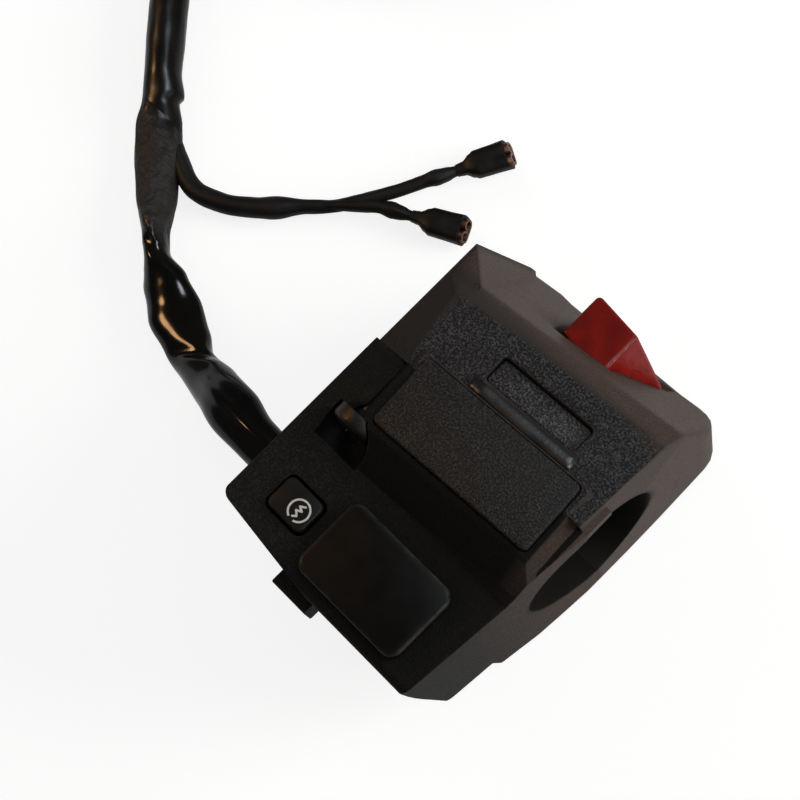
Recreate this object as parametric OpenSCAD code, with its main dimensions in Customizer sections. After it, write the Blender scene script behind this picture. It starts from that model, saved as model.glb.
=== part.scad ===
// Right-hand handlebar switch cluster: a clamp-on housing with an engine stop rocker and a start button
// X runs along the handlebar towards the grip, Y is up on the motorbike, Z points at the rider
// The origin is on the handlebar's axis, at the middle of the housing, and the housing lies on its flat back

/* [Handlebar clamp] */
// Diameter of the handlebar
bar_d = 22.2; // [21.8:0.1:22.6]
// Radial slack between the handlebar and the closed housing
bar_slack = 0.05; // [0:0.01:0.15]
// Thread diameter of the clamp screws
clamp_screw_d = 3.6; // [3:0.1:3.8]
// Length of a clamp screw under its head
clamp_screw_len = 16; // [14:0.5:16.5]
// Height of the clamp screw heads below the bar axis
clamp_seat = 9.2; // [8.6:0.1:9.6]

/* [Housing] */
// Length of the housing along the handlebar
body_len = 39; // [38:0.5:43]
// Height of the housing above the bar axis
body_top = 26.4; // [26:0.1:28]
// Depth of the housing below the bar axis
body_bottom = 31; // [30.5:0.1:33]
// Distance from the bar axis to the flat back
body_back = 21; // [20.5:0.1:23]
// Distance from the bar axis to the foot of the grained upper panel
panel_front = 16.4; // [16:0.1:16.6]
// Distance from the bar axis to the top of the middle plinth
plinth_front = 17; // [16.8:0.1:18]
// Distance from the bar axis to the lower button face
lower_front = 12.6; // [12:0.1:13.2]
// Thickness of the housing walls
wall = 2.2; // [1.8:0.1:2.6]
// Backward tilt of the grained upper panel, in degrees
panel_tilt = 8; // [6:0.5:9]
// Lean of the top face along the bar, in degrees
top_lean = 6.5; // [5:0.5:8]
// Inset of the upper half at the parting line
seam_step = 0.6; // [0.2:0.1:1]

/* [Covers and blanks] */
// Length of the grained middle cover
cover_len = 26.4; // [24:0.2:27]
// Height of the grained middle cover
cover_h = 11; // [10:0.2:11.6]
// Thickness of the grained middle cover
cover_t = 1.6; // [1.2:0.1:2]
// Depth of the seat that the middle cover lies in
cover_sink = 0.8; // [0.5:0.1:1]
// Lean of the middle cover along the bar, in degrees
cover_lean = 3.2; // [2:0.1:4]
// Length of the recessed window in the upper panel
window_len = 15.4; // [13:0.2:16.4]
// Height of the recessed window in the upper panel
window_h = 4.2; // [3.6:0.1:4.6]
// Depth of the recessed window in the upper panel
window_depth = 1.6; // [1.2:0.1:2]
// Thickness of the insert in the recessed window
window_insert_t = 0.9; // [0.6:0.1:1.2]
// Length of the large blanking plug
plug_len = 18.4; // [17:0.2:19]
// Height of the large blanking plug
plug_h = 11.8; // [11:0.2:12.2]
// Height of the large blanking plug above the button face
plug_proud = 2; // [1:0.1:2.6]
// Gap that shows round the covers and blanks
trim_gap = 0.15; // [0.1:0.05:0.25]

/* [Stop rocker] */
// Diameter of the rocker's pivot pins
pivot_d = 1.8; // [1.6:0.1:2]
// Radial running clearance of the pivot pins
pivot_play = 0.05; // [0.03:0.01:0.08]
// Swing of the rocker between run and stop, in degrees
rocker_swing = 16; // [12:1:18]
// Clearance round the moving rocker
rocker_gap = 0.5; // [0.4:0.05:0.6]
// Diameter of the rocker's plunger
plunger_d = 1.8; // [1.6:0.1:2]
// Tilt of the contact bridge either side of level, in degrees
bridge_tilt = 5; // [3:0.5:6]

/* [Start button] */
// Length of the start button
button_len = 6.4; // [6:0.1:7]
// Height of the start button
button_h = 5.1; // [4.8:0.1:5.6]
// Height of the start button above the button face
button_proud = 0.7; // [0.4:0.1:1]
// Travel of the start button
button_travel = 2.2; // [1.6:0.1:2.4]
// Clearance round the moving start button
button_gap = 0.4; // [0.35:0.05:0.5]
// Diameter of the start button's stem
stem_d = 3.2; // [2.8:0.1:3.6]
// Radial running clearance of the stem
stem_play = 0.05; // [0.03:0.01:0.08]

/* [Loom] */
// Diameter of the sleeved loom
loom_d = 7; // [6.4:0.1:7.4]
// Diameter of the sleeve over the brake-light leads
branch_d = 3; // [2.6:0.1:3.2]
// Diameter of one brake-light lead
lead_d = 1.5; // [1.2:0.1:1.7]
// Radius of the loom's coil where it starts, at its middle line
coil_r = 40; // [38:0.5:44]
// Step of the loom's coil from one turn to the next
coil_step = 7.8; // [7.6:0.1:9]

/* [Hidden] */
$fn = 48;

// Cut tools run this far past the faces that they cut
past = 1;
half_len = body_len / 2;
bore_r = bar_d / 2 + bar_slack;
core_r = bore_r + wall;
bench = -body_back;

// Corners of the outlines carry their rounding radius as a third number
arc_steps = 5;
function unit(v) = v / norm(v);
function corner_arc(p, q, s, r) =
    let (
        u = unit(p - q),
        v = unit(s - q),
        half = acos(u * v) / 2,
        c = q + unit(u + v) * r / sin(half),
        a = q + u * r / tan(half) - c,
        b = q + v * r / tan(half) - c,
        a0 = atan2(a.y, a.x),
        turn = (atan2(b.y, b.x) - a0 + 540) % 360 - 180
    )
    [for (i = [0:arc_steps]) c + r * [cos(a0 + turn * i / arc_steps), sin(a0 + turn * i / arc_steps)]];
function flat(p) = [p.x, p.y];
function rounded(pts) =
    let (n = len(pts))
    [
        for (i = [0:n - 1])
            let (q = flat(pts[i]))
            if (pts[i].z == 0) q
            else each corner_arc(flat(pts[(i + n - 1) % n]), q, flat(pts[(i + 1) % n]), pts[i].z)
    ];

// Outlines drawn in the plane across one axis, pushed out along that axis
module along_x(pts, x0, x1) {
    translate([x0, 0, 0]) rotate([90, 0, 90]) linear_extrude(x1 - x0) polygon(rounded(pts));
}
module along_y(pts, y0, y1) {
    translate([0, y1, 0]) rotate([90, 0, 0]) linear_extrude(y1 - y0) polygon(rounded(pts));
}
module along_z(pts, z0, z1) {
    translate([0, 0, z0]) linear_extrude(z1 - z0) polygon(rounded(pts));
}
function block(len, h, r) =
    [[-len / 2, -h / 2, r], [len / 2, -h / 2, r], [len / 2, h / 2, r], [-len / 2, h / 2, r]];
module rod_x(d, x0, x1) { translate([x0, 0, 0]) rotate([0, 90, 0]) cylinder(d = d, h = x1 - x0); }
module rod_y(d, y0, y1) { translate([0, y0, 0]) rotate([-90, 0, 0]) cylinder(d = d, h = y1 - y0); }
module rod_z(d, z0, z1) { translate([0, 0, z0]) cylinder(d = d, h = z1 - z0); }

// Upper half: side outline seen by the rider, section along the bar, and section across the bar
upper_left = -half_len + seam_step;
panel_left = upper_left + 6.6;
parting_overlap = 8;
bevel_z = 12.6;
panel_foot = 2;
panel_head = 13;
function panel_z(y) = panel_front - (y - panel_foot) * tan(panel_tilt);
crease_y = 16;
crease_z = 11.8;
top_back = -19.5;
function upper_outline(e) = [
    [upper_left + e, -past, 0], [half_len - e, -past, 0], [half_len - 0.3 - e, 12, 0],
    [half_len - 0.9 - e, body_top - e, 4.5], [half_len - 9, body_top - 0.9 - e, 0],
    [upper_left + 7.3, body_top - 0.8 - e, 0], [upper_left + 2, body_top - e, 2],
    [upper_left + e, body_top - 0.8 - e, 1]
];
function upper_section(e) = [
    [upper_left + e, -body_back + e, 1.5], [half_len - e, -body_back + e, 3], [half_len - e, 0, 0],
    [half_len - 0.9 - e, panel_front + 1 - e, 0.8], [panel_left + e, panel_front + 0.4 - e, 1.2],
    [upper_left + e, bevel_z - e, 0.8]
];
function upper_profile(e) = [
    [-parting_overlap, -body_back + e, 0], [-parting_overlap, panel_z(-parting_overlap) - e, 0],
    [panel_head - e / 2, panel_z(panel_head) - e, 1],
    [crease_y - e, crease_z - e / 2, 1.5], [body_top + 1 - e, top_back, 0], [18, -body_back + e, 5]
];
module upper_form(e) {
    intersection() {
        along_z(upper_outline(e), -body_back - past, panel_front + 2);
        along_y(upper_section(e), -2 * past, body_top + past);
        rotate([0, 0, top_lean]) along_x(upper_profile(e), -body_len, body_len);
    }
}

// Solid rim along the left edge of the top face, highest over the rest of the face at its front corner
rim_front = 12.3;
rim_back = -17;
rim_angle = 14.3;
rim_corner = 18.2;
rim_slope = 0.8;
rim_w = 8;
module left_rim() {
    intersection() {
        along_z(upper_outline(0), rim_back, rim_front);
        along_y(upper_section(0), 0, body_top + past);
        translate([upper_left, rim_corner, rim_front])
            rotate([rim_angle, 0, 0])
                along_z([
                    [-past, past * rim_slope, 0], [-past, -rim_w, 0], [rim_w, -rim_w, 0],
                    [rim_w, -rim_w * rim_slope, 0]
                ], -2 * body_back, body_back);
    }
}

// Lower half: its front steps back from the plinth to the button face through the finger scoop
scoop_top = -cover_h / 2 - 3.2;
scoop_foot = scoop_top - 5;
tail_y = -19;
tail_back = -13.2;
collar_front = bore_r + 3.2;
function lower_outline(e) = [
    [-half_len + e, past, 0], [-half_len + e, -body_bottom + 2.2 + e, 1.8], [0.5, -body_bottom + e, 8],
    [half_len - 2.6 - e, -body_bottom + e, 1.6], [half_len - 0.1 - e, -2, 0], [half_len - e, past, 0]
];
function lower_section(e) = [
    [-half_len + e, -body_back + e, 1.5], [half_len - e, -body_back + e, 3],
    [half_len - e, collar_front - e, 0.8], [half_len - 1.2 - e, collar_front + 3 - e, 0],
    [panel_left + e, collar_front + 1.8 - e, 0],
    [-half_len + e, lower_front - 0.1 - e, 0.8]
];
function lower_profile(e) = [
    [past, -body_back + e, 0], [-9 + e, -body_back + e, 3], [tail_y + 0.6 + e, -body_back + 3 + e, 1],
    [tail_y - 0.4 + e, tail_back + e, 0.4], [-body_bottom + 3.6 + e, tail_back + e, 1.5],
    [-body_bottom + e, lower_front - e, 1.2], [scoop_foot + e / 3, lower_front - e, 2],
    [scoop_top + 1 - e / 3, collar_front + 1 - e, 0], [past, collar_front + 1 - e, 0]
];
module lower_form(e) {
    intersection() {
        along_z(lower_outline(e), -body_back - past, plinth_front + past);
        along_y(lower_section(e), -body_bottom - past, 2 * past);
        along_x(lower_profile(e), -half_len - past, half_len + past);
    }
}

// The plinth straddles the parting line and carries the middle cover
cover_at = [2.5, -2.4];
plinth_rim = 0.9;
plinth_foot = bore_r + 0.6;
module on_plinth() { translate([cover_at.x, cover_at.y, 0]) rotate([0, 0, cover_lean]) children(); }
module plinth() {
    span = cover_len / 2 + plinth_rim;
    rise = plinth_front - plinth_foot;
    intersection() {
        on_plinth() intersection() {
            along_x([
                [-cover_h / 2 - plinth_rim - 1.1 * rise, plinth_foot, 0],
                [-cover_h / 2 - plinth_rim, plinth_front, 1.2],
                [cover_h / 2 + plinth_rim / 2, plinth_front, 0.3],
                [cover_h / 2 + plinth_rim / 2, plinth_foot, 0]
            ], -body_len, body_len);
            along_y([
                [-span - 0.75 * rise, plinth_foot, 0], [-span, plinth_front, 0.6],
                [span, plinth_front, 0.6], [span + 0.95 * rise, plinth_foot, 0]
            ], -body_bottom, body_top);
        }
        along_z([
            [-body_len, -body_bottom, 0], [half_len - 2.6, -body_bottom, 0], [half_len - 0.1, -2, 0],
            [half_len, 0, 0], [half_len - 0.3, body_top, 0], [-body_len, body_top, 0]
        ], 0, plinth_front + past);
    }
}
cover_seat = plinth_front - cover_sink;
module cover_plan(grow) {
    plan = block(cover_len + 2 * grow, cover_h + 2 * grow, 0.8);
    on_plinth() along_z(plan, cover_seat, cover_seat + cover_t);
}

// The bar's bore, and the holes of the two clamp screws, one behind the bar and one before it
clamp_head_d = 7;
clamp_head_h = 2.6;
clamp_hole_slack = 0.3;
clamp_reach = clamp_screw_len - clamp_seat;
clamp_front = [-half_len + 7.1, bore_r + 0.5 + clamp_screw_d / 2];
clamp_back = [1.5, -bore_r - 3.2 - clamp_screw_d / 2];
pocket_foot = scoop_foot - 1;
module bar_bore() { rod_x(2 * bore_r, -body_len, body_len); }
module at_clamps() {
    for (p = [clamp_front, clamp_back])
        translate([p.x, 0, p.y]) children();
}
module clamp_shank_holes() {
    at_clamps() rod_y(clamp_screw_d + clamp_hole_slack, -clamp_seat - past, past);
}
module clamp_pilot_holes() {
    at_clamps() rod_y(clamp_screw_d + 0.1, -past, clamp_reach + 0.5);
}
module clamp_head_wells() {
    well_d = clamp_head_d + 1;
    translate([clamp_front.x, 0, clamp_front.y]) rod_y(well_d, pocket_foot, -clamp_seat);
    translate([clamp_back.x, 0, clamp_back.y]) {
        rod_y(well_d, -body_bottom, -clamp_seat);
        translate([-well_d / 2, -body_bottom, -body_back])
            cube([well_d, body_bottom - clamp_seat, body_back]);
    }
}
module one_clamp_screw() {
    difference() {
        union() {
            rod_y(clamp_screw_d, -clamp_seat, clamp_reach);
            rod_y(clamp_head_d, -clamp_seat - clamp_head_h, -clamp_seat);
        }
        for (turn = [0, 90])
            rotate([0, turn, 0])
                translate([-2, -clamp_seat - clamp_head_h - past, -0.45])
                    cube([4, past + 1.3, 0.9]);
    }
}

// Cavities above and below the bar, joined by a wire way beside the bar
wire_way_x = -half_len + wall + 2.4;
wire_way_z = -bore_r - 2.9;
wire_way_d = 3.4;
cavity_floor = core_r - 3.4;
module bar_core() { rod_x(2 * core_r, -body_len, body_len); }
module wire_way() {
    translate([wire_way_x, 0, wire_way_z]) rod_y(wire_way_d, -core_r - 2, core_r);
}
module upper_cavity() {
    difference() {
        intersection() {
            upper_form(wall);
            translate([-body_len, cavity_floor, -body_back])
                cube([2 * body_len, body_top, body_back + crease_z - wall]);
        }
        bar_core();
        translate([-body_len, 0, bore_r - wall]) cube([2 * body_len, core_r + 0.4, body_back]);
    }
}
module lower_cavity() {
    difference() {
        intersection() {
            lower_form(wall);
            translate([-body_len, -body_bottom, -body_back])
                cube([2 * body_len, body_bottom - cavity_floor, 2 * body_back]);
        }
        bar_core();
        translate([clamp_back.x, 0, clamp_back.y]) rod_y(clamp_head_d + 2 * wall, -body_bottom, 0);
        translate([-body_len, scoop_foot - wall, lower_front - 2 * wall])
            cube([2 * body_len, body_bottom, body_back]);
    }
}

// Stop rocker: a knob over a hub that swings about an axis along Z
pivot = [1.5, 16.6];
knob_front = 5;
knob_back = -9.2;
knob_left = -3.9;
knob_corner = 3.9;
knob_right = 9.3;
knob_top_left = 25.5;
knob_top_right = 24.8;
knob_tip = 23.6;
knob_under = 18.6;
hub_r = 2.9;
hub_back = -2.4;
rest_tilt = rocker_swing / 2;
module at_pivot() { translate([pivot.x, pivot.y, 0]) children(); }
function knob_plan(left, grow) = [
    [left, knob_front + grow, 0.4], [knob_corner + grow / 2, knob_front + grow, 0.6],
    [knob_right + grow, knob_back + 3, 0.6], [knob_right + grow, knob_back - grow, 0.4],
    [left, knob_back - grow, 0.4]
];
knob_side = [
    [knob_left, knob_under, 0.6], [knob_left, knob_top_left, 0.8], [knob_corner, knob_top_right, 2],
    [knob_right, knob_tip, 0.8], [knob_right, knob_tip - 2, 0.4], [pivot.x + hub_r + 1, pivot.y + 1, 1],
    [pivot.x + 0.4, pivot.y + 0.6, 0.4]
];
// A knob point after the full swing, and the left side of the well that clears it
function swung(p) =
    let (v = p - pivot, c = cos(rocker_swing), s = sin(rocker_swing))
    pivot + [v.x * c - v.y * s, v.x * s + v.y * c];
well_low = swung([knob_left, knob_under]) - [rocker_gap, rocker_gap];
well_high = swung([knob_left, knob_top_left]) - [rocker_gap, 0];
module rocker_well() {
    intersection() {
        along_y(knob_plan(-body_len, rocker_gap), well_low.y, body_top + past);
        along_z([
            [well_low.x, well_low.y, 0], [body_len, well_low.y, 0], [body_len, body_top + past, 0],
            [well_high.x, body_top + past, 0], [well_high.x, well_high.y, 0]
        ], -body_back, body_back);
    }
    at_pivot() {
        rod_z(2 * (hub_r + rocker_gap), knob_back - rocker_gap, knob_front + rocker_gap);
        translate([-hub_r - rocker_gap, 0, knob_back - rocker_gap])
            cube([2 * (hub_r + rocker_gap), hub_r + 2, knob_front - knob_back + 2 * rocker_gap]);
        rod_z(pivot_d + 2 * pivot_play, knob_back - pin_reach - 0.3, knob_front + pin_reach + 0.3);
    }
}
pin_reach = 2.4;
pin_sunk = 2;
plunger_z = -7.6;
plunger_foot = 14.9;
plunger_tip = plunger_foot - pivot.y;
plunger_len = 4;
spring_room = 3.6;
hub_low = plunger_tip + 0.5;
module in_rocker_tilt() { at_pivot() rotate([0, 0, -rest_tilt]) translate([0, 0, plunger_z]) children(); }

// Contact base of the stop switch, on the back of the bar's core
stop_base_z = [-12.2, -5.6];
stop_base_x = [pivot.x - 6.6, pivot.x + 6.6];
stop_base_y = [12.3, 13.1];
stop_post_d = 2.8;
stop_contact_at = 3.4;
stop_contact_d = 1.4;
stop_contact_h = 0.25;
stop_bridge_y = 14.35;
stop_bridge_t = 0.4;
stop_bridge_len = 8.4;
stop_bridge_w = 2.6;
stop_bead_d = 1;
stop_bead_gap = 0.05;
fulcrum_w = 0.8;
fulcrum_top = stop_bridge_y - stop_bead_d / 2 - stop_bead_gap;
small_screw_d = 1.6;
small_hole_d = small_screw_d + 0.2;
small_head_d = 2.8;
small_head_h = 1;
small_screw_len = 3;
stop_screw_x = [stop_base_x[0] + 1.5, stop_base_x[1] - 1.5];
stop_screw_z = stop_base_z[0] + 1.6;
module stop_posts() {
    for (x = stop_screw_x)
        translate([x, 0, stop_screw_z]) difference() {
            rod_y(stop_post_d, cavity_floor - 3, stop_base_y[0]);
            rod_y(small_screw_d, stop_base_y[0] - small_screw_len, stop_base_y[0] + past);
        }
}

// Upper housing half
rail_len = window_len + 1.4;
window_at = [cover_at.x + 0.9, cover_h / 2 + cover_at.y + 4.9];
rail_gap = 0.5;
rail_h = 0.9;
module at_window() {
    translate([window_at.x, window_at.y, panel_z(window_at.y)])
        rotate([-panel_tilt, 0, cover_lean])
            children();
}
module upper_housing() {
    color("#3b3735")
        difference() {
            union() {
                difference() {
                    union() {
                        upper_form(0);
                        left_rim();
                        plinth();
                        at_window()
                            translate([0, -window_h / 2 - rail_gap, 0])
                                rod_x(rail_h, -rail_len / 2, rail_len / 2);
                    }
                    upper_cavity();
                }
                stop_posts();
            }
            translate([-body_len, -body_bottom, -body_back - past])
                cube([2 * body_len, body_bottom, 3 * body_back]);
            bar_bore();
            cover_plan(trim_gap);
            at_window() along_z(block(window_len, window_h, 0.7), -window_depth, 2 * past);
            clamp_pilot_holes();
            wire_way();
            rocker_well();
        }
}

// Lower housing half, with the start button's guide and the screw pocket under the plinth
button_at = [-half_len + 8.7, -23.2];
button_flange = 0.9;
button_opening = block(button_len + 2 * button_gap, button_h + 2 * button_gap, 1.2);
flange_plan = block(button_len + 2 * button_flange, button_h + 2 * button_flange, 1.2);
button_top = lower_front + button_proud;
inner_front = lower_front - wall;
seal_t = 0.6;
seal_room = 0.4;
flange_top = inner_front - seal_t - seal_room;
flange_t = 1.2;
retainer_z = [2.2, 3.6];
button_posts_at = [[0, 5.4], [6.2, -1.2]];
base_plan = [[-4, -2.9, 0.8], [7.8, -2.9, 0.8], [7.8, 7, 0.8], [-4, 7, 0.8]];
start_base_z = [-4, -2.8];
start_contact_at = 2.6;
start_contact_d = 2;
start_contact_h = 0.7;
start_bridge_t = 0.6;
start_bridge_plan = block(2 * start_contact_at + start_contact_d, start_contact_d + 0.6, 0.5);
start_bridge_z = start_base_z[1] + start_contact_h + button_gap + button_travel;
post_d = 2.6;
loom_exit = [-20.8, -6.5];
grommet_flange_d = loom_d + 1.6;
grommet_neck_d = loom_d + 0.6;
grommet_flange_t = 1.5;
plug_at = [4, -22.9];
plug_shank = [11, 7];
plug_snap = 0.6;
lug_x = [-6.9, -0.7];
lug_z = [4, 9];
lug_drop = 1.5;
module at_button() { translate([button_at.x, button_at.y, 0]) children(); }
module at_plug() { translate([plug_at.x, plug_at.y, 0]) children(); }
module button_posts() {
    at_button()
        for (p = button_posts_at)
            translate([p.x, p.y, 0]) {
                difference() {
                    rod_z(post_d, retainer_z[1], inner_front + past / 2);
                    rod_z(small_screw_d, retainer_z[1] - past, retainer_z[1] + small_screw_len);
                }
                difference() {
                    rod_z(post_d, tail_back + wall / 2, start_base_z[0]);
                    rod_z(small_screw_d, start_base_z[0] - small_screw_len, start_base_z[0] + past);
                }
            }
}
module clip_lug() {
    foot = -body_bottom - lug_drop;
    root = -body_bottom + wall;
    along_x(
        [[root, lug_z[0], 0], [root, lug_z[1], 0], [foot, lug_z[1], 0.5], [foot, lug_z[0], 0.5]],
        lug_x[0], lug_x[1]
    );
}
module lower_housing() {
    color("#262423")
        difference() {
            union() {
                difference() {
                    union() {
                        lower_form(0);
                        plinth();
                        clip_lug();
                    }
                    lower_cavity();
                }
                button_posts();
            }
            translate([-body_len, 0, -body_back - past]) cube([2 * body_len, body_bottom, 3 * body_back]);
            bar_bore();
            cover_plan(trim_gap);
            clamp_shank_holes();
            clamp_head_wells();
            wire_way();
            at_button() along_z(button_opening, inner_front - past, body_back);
            at_plug() along_z(block(plug_shank[0], plug_shank[1], 1), inner_front - past, body_back);
            translate([0, loom_exit.x, loom_exit.y])
                rod_x(grommet_neck_d, -half_len - past, -half_len + wall + past);
        }
}

// Covers and blanks
module middle_cover() {
    color("#1d1c1c") cover_plan(0);
}
module window_insert() {
    color("#1d1c1c")
        at_window()
            along_z(
                block(window_len - 2 * trim_gap, window_h - 2 * trim_gap, 0.6),
                -window_depth, -window_depth + window_insert_t
            );
}
module blanking_plug() {
    color("#151414")
        at_plug() {
            along_z(block(plug_len, plug_h, 1.8), lower_front, lower_front + plug_proud);
            along_z(
                block(plug_shank[0] - 2 * trim_gap, plug_shank[1] - 2 * trim_gap, 0.9),
                inner_front - plug_snap, lower_front
            );
        }
}
module clamp_screws() {
    color("#6f7072") at_clamps() one_clamp_screw();
}

// Stop switch
module stop_rocker() {
    color("#a8251d")
        difference() {
            union() {
                intersection() {
                    along_z(knob_side, knob_back, knob_front);
                    along_y(knob_plan(knob_left, 0), 0, body_top);
                }
                at_pivot() rotate([0, 0, -rest_tilt]) {
                    rod_z(2 * hub_r, hub_back, knob_front);
                    translate([-plunger_d, hub_low, knob_back])
                        cube([2 * plunger_d, hub_r + 2 - hub_low, hub_back - knob_back]);
                }
            }
            in_rocker_tilt()
                rod_y(
                    plunger_d + 2 * pivot_play,
                    plunger_tip - past, plunger_tip + plunger_len + spring_room
                );
            at_pivot() {
                rod_z(pivot_d, knob_front - pin_sunk, knob_front + past);
                rod_z(pivot_d, knob_back - past, plunger_z - plunger_d / 2 - 0.3);
            }
        }
}
module rocker_pivot_pins() {
    color("#b9babb")
        at_pivot() {
            rod_z(pivot_d, knob_front - pin_sunk, knob_front + pin_reach);
            rod_z(pivot_d, knob_back - pin_reach, plunger_z - plunger_d / 2 - 0.3);
        }
}
module rocker_plunger() {
    color("#c9a14a")
        in_rocker_tilt() {
            rod_y(plunger_d, plunger_tip + plunger_d / 2, plunger_tip + plunger_len);
            translate([0, plunger_tip + plunger_d / 2, 0]) sphere(d = plunger_d);
        }
}
module stop_contact_bridge() {
    color("#c47a3d")
        translate([pivot.x, stop_bridge_y, plunger_z])
            rotate([0, 0, bridge_tilt]) {
                cube([stop_bridge_len, stop_bridge_t, stop_bridge_w], center = true);
                intersection() {
                    rod_z(stop_bead_d, -stop_bridge_w / 2, stop_bridge_w / 2);
                    translate([-stop_bead_d, -stop_bead_d, -stop_bridge_w])
                        cube([2 * stop_bead_d, stop_bead_d, 2 * stop_bridge_w]);
                }
            }
}
module stop_contact_base() {
    color("#5c4630")
        difference() {
            union() {
                translate([stop_base_x[0], stop_base_y[0], stop_base_z[0]])
                    cube([
                        stop_base_x[1] - stop_base_x[0], stop_base_y[1] - stop_base_y[0],
                        stop_base_z[1] - stop_base_z[0]
                    ]);
                translate([pivot.x - fulcrum_w / 2, stop_base_y[0], plunger_z - stop_bridge_w / 2])
                    cube([fulcrum_w, fulcrum_top - stop_base_y[0], stop_bridge_w]);
            }
            for (x = stop_screw_x)
                translate([x, 0, stop_screw_z])
                    rod_y(small_hole_d, stop_base_y[0] - past, stop_base_y[1] + past);
        }
}
module stop_contacts() {
    color("#c9a14a")
        for (side = [-1, 1])
            translate([pivot.x + side * stop_contact_at, stop_base_y[1], plunger_z])
                rod_y(stop_contact_d, 0, stop_contact_h);
}

// Start switch
module start_button() {
    color("#191818")
        at_button() {
            along_z(block(button_len, button_h, 1), flange_top - flange_t, button_top);
            along_z(flange_plan, flange_top - flange_t, flange_top);
            rod_z(stem_d, start_bridge_z + start_bridge_t, flange_top);
        }
}
symbol_r = 1.75;
symbol_line = 0.32;
symbol_t = 0.08;
symbol_at = [0.6, -0.25];
symbol_turn = 44;
ring_start = 238;
ring_sweep = 327;
bolt = [[-1.04, -0.75], [-0.36, -0.8], [-0.46, 0.14], [0.42, -0.16], [0.12, 0.68], [1.02, 0.5]];
module line_on_button(a, b) {
    translate(a) circle(d = symbol_line);
    translate(b) circle(d = symbol_line);
    translate(a)
        rotate(atan2(b.y - a.y, b.x - a.x))
            translate([0, -symbol_line / 2])
                square([norm(b - a), symbol_line]);
}
module start_symbol() {
    color("#f2f2f0")
        at_button() translate([symbol_at.x, symbol_at.y, button_top]) rotate([0, 0, symbol_turn]) {
            rotate([0, 0, ring_start])
                rotate_extrude(angle = ring_sweep)
                    translate([symbol_r - symbol_line / 2, 0])
                        square([symbol_line, symbol_t]);
            linear_extrude(symbol_t)
                for (i = [1:len(bolt) - 1])
                    line_on_button(bolt[i - 1], bolt[i]);
        }
}
module start_seal() {
    color("#101010")
        at_button() difference() {
            along_z(flange_plan, inner_front - seal_t, inner_front);
            along_z(button_opening, inner_front - seal_t - past, inner_front + past);
        }
}
module start_retainer() {
    color("#3a3a3a")
        at_button() difference() {
            along_z(base_plan, retainer_z[0], retainer_z[1]);
            rod_z(stem_d + 2 * stem_play, retainer_z[0] - past, retainer_z[1] + past);
            for (p = button_posts_at)
                translate([p.x, p.y, 0]) rod_z(small_hole_d, retainer_z[0] - past, retainer_z[1] + past);
        }
}
module start_contact_bridge() {
    color("#c47a3d")
        at_button()
            along_z(start_bridge_plan, start_bridge_z, start_bridge_z + start_bridge_t);
}
module start_contact_base() {
    color("#5c4630")
        at_button() difference() {
            along_z(base_plan, start_base_z[0], start_base_z[1]);
            for (p = button_posts_at)
                translate([p.x, p.y, 0]) rod_z(small_hole_d, start_base_z[0] - past, start_base_z[1] + past);
        }
}
module start_contacts() {
    color("#c9a14a")
        at_button()
            for (side = [-1, 1])
                translate([side * start_contact_at, 0, 0])
                    rod_z(start_contact_d, start_base_z[1], start_base_z[1] + start_contact_h);
}

// Small screws of the two contact bases and the retainer; a screw points along -Z from its seat
module small_screw() {
    rod_z(small_screw_d, -small_screw_len + 0.2, 0);
    difference() {
        rod_z(small_head_d, 0, small_head_h);
        translate([-small_head_d, -0.25, small_head_h - 0.4]) cube([2 * small_head_d, 0.5, past]);
    }
}
module base_screws() {
    color("#8d8e90") {
        at_button()
            for (p = button_posts_at) {
                translate([p.x, p.y, retainer_z[0]]) rotate([180, 0, 0]) small_screw();
                translate([p.x, p.y, start_base_z[1]]) small_screw();
            }
        for (x = stop_screw_x)
            translate([x, stop_base_y[1], stop_screw_z]) rotate([-90, 0, 0]) small_screw();
    }
}

// The last point of a route, and the way that the route runs there
function route_end(route) = route[len(route) - 1];
function route_dir(route) = unit(route_end(route) - route[len(route) - 2]);

// Tubes swept along a route; every ring stands square to the route, with its first point level with the axis
function ring_at(pts, i, d, sides) =
    let (
        last = len(pts) - 1,
        dir = unit(pts[min(i + 1, last)] - pts[max(i - 1, 0)]),
        side = unit(cross(dir, abs(dir.z) > 0.98 ? [0, 1, 0] : [0, 0, 1])),
        up = cross(side, dir)
    )
    [for (k = [0:sides - 1]) pts[i] + d / 2 * (cos(360 * k / sides) * side + sin(360 * k / sides) * up)];
module tube(pts, d, sides) {
    n = len(pts);
    rings = [for (i = [0:n - 1]) each ring_at(pts, i, d, sides)];
    walls = [
        for (i = [0:n - 2], k = [0:sides - 1])
            let (a = i * sides + k, b = i * sides + (k + 1) % sides)
            each [[a, b, a + sides], [b, b + sides, a + sides]]
    ];
    caps = [
        for (k = [1:sides - 2])
            let (e = (n - 1) * sides)
            each [[0, k + 1, k], [e, e + k, e + k + 1]]
    ];
    polyhedron(points = rings, faces = concat(walls, caps));
}

// Springs: closed helices along Z, eight rings to a curl
spring_rings = 8;
spring_sides = 6;
function helix(r, h, curls) =
    [
        for (i = [0:curls * spring_rings])
            let (a = 360 * i / spring_rings)
            [r * cos(a), r * sin(a), h * i / (curls * spring_rings)]
    ];
rocker_spring_wire = 0.3;
rocker_spring_curls = 5;
module rocker_spring() {
    r = plunger_d / 2 - rocker_spring_wire;
    curl = helix(r, spring_room - 2 * rocker_spring_wire, rocker_spring_curls);
    color("#c4c5c6")
        in_rocker_tilt()
            translate([0, plunger_tip + plunger_len + rocker_spring_wire, 0])
                rotate([-90, 0, 0])
                    tube(curl, rocker_spring_wire, spring_sides);
}
start_spring_wire = 0.5;
start_spring_curls = 4;
module start_spring() {
    low = retainer_z[1] + start_spring_wire;
    high = flange_top - flange_t - start_spring_wire;
    curl = helix(stem_d / 2 + 2 * start_spring_wire, high - low, start_spring_curls);
    color("#c4c5c6")
        at_button()
            translate([0, 0, low])
                tube(curl, start_spring_wire, spring_sides);
}

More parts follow.
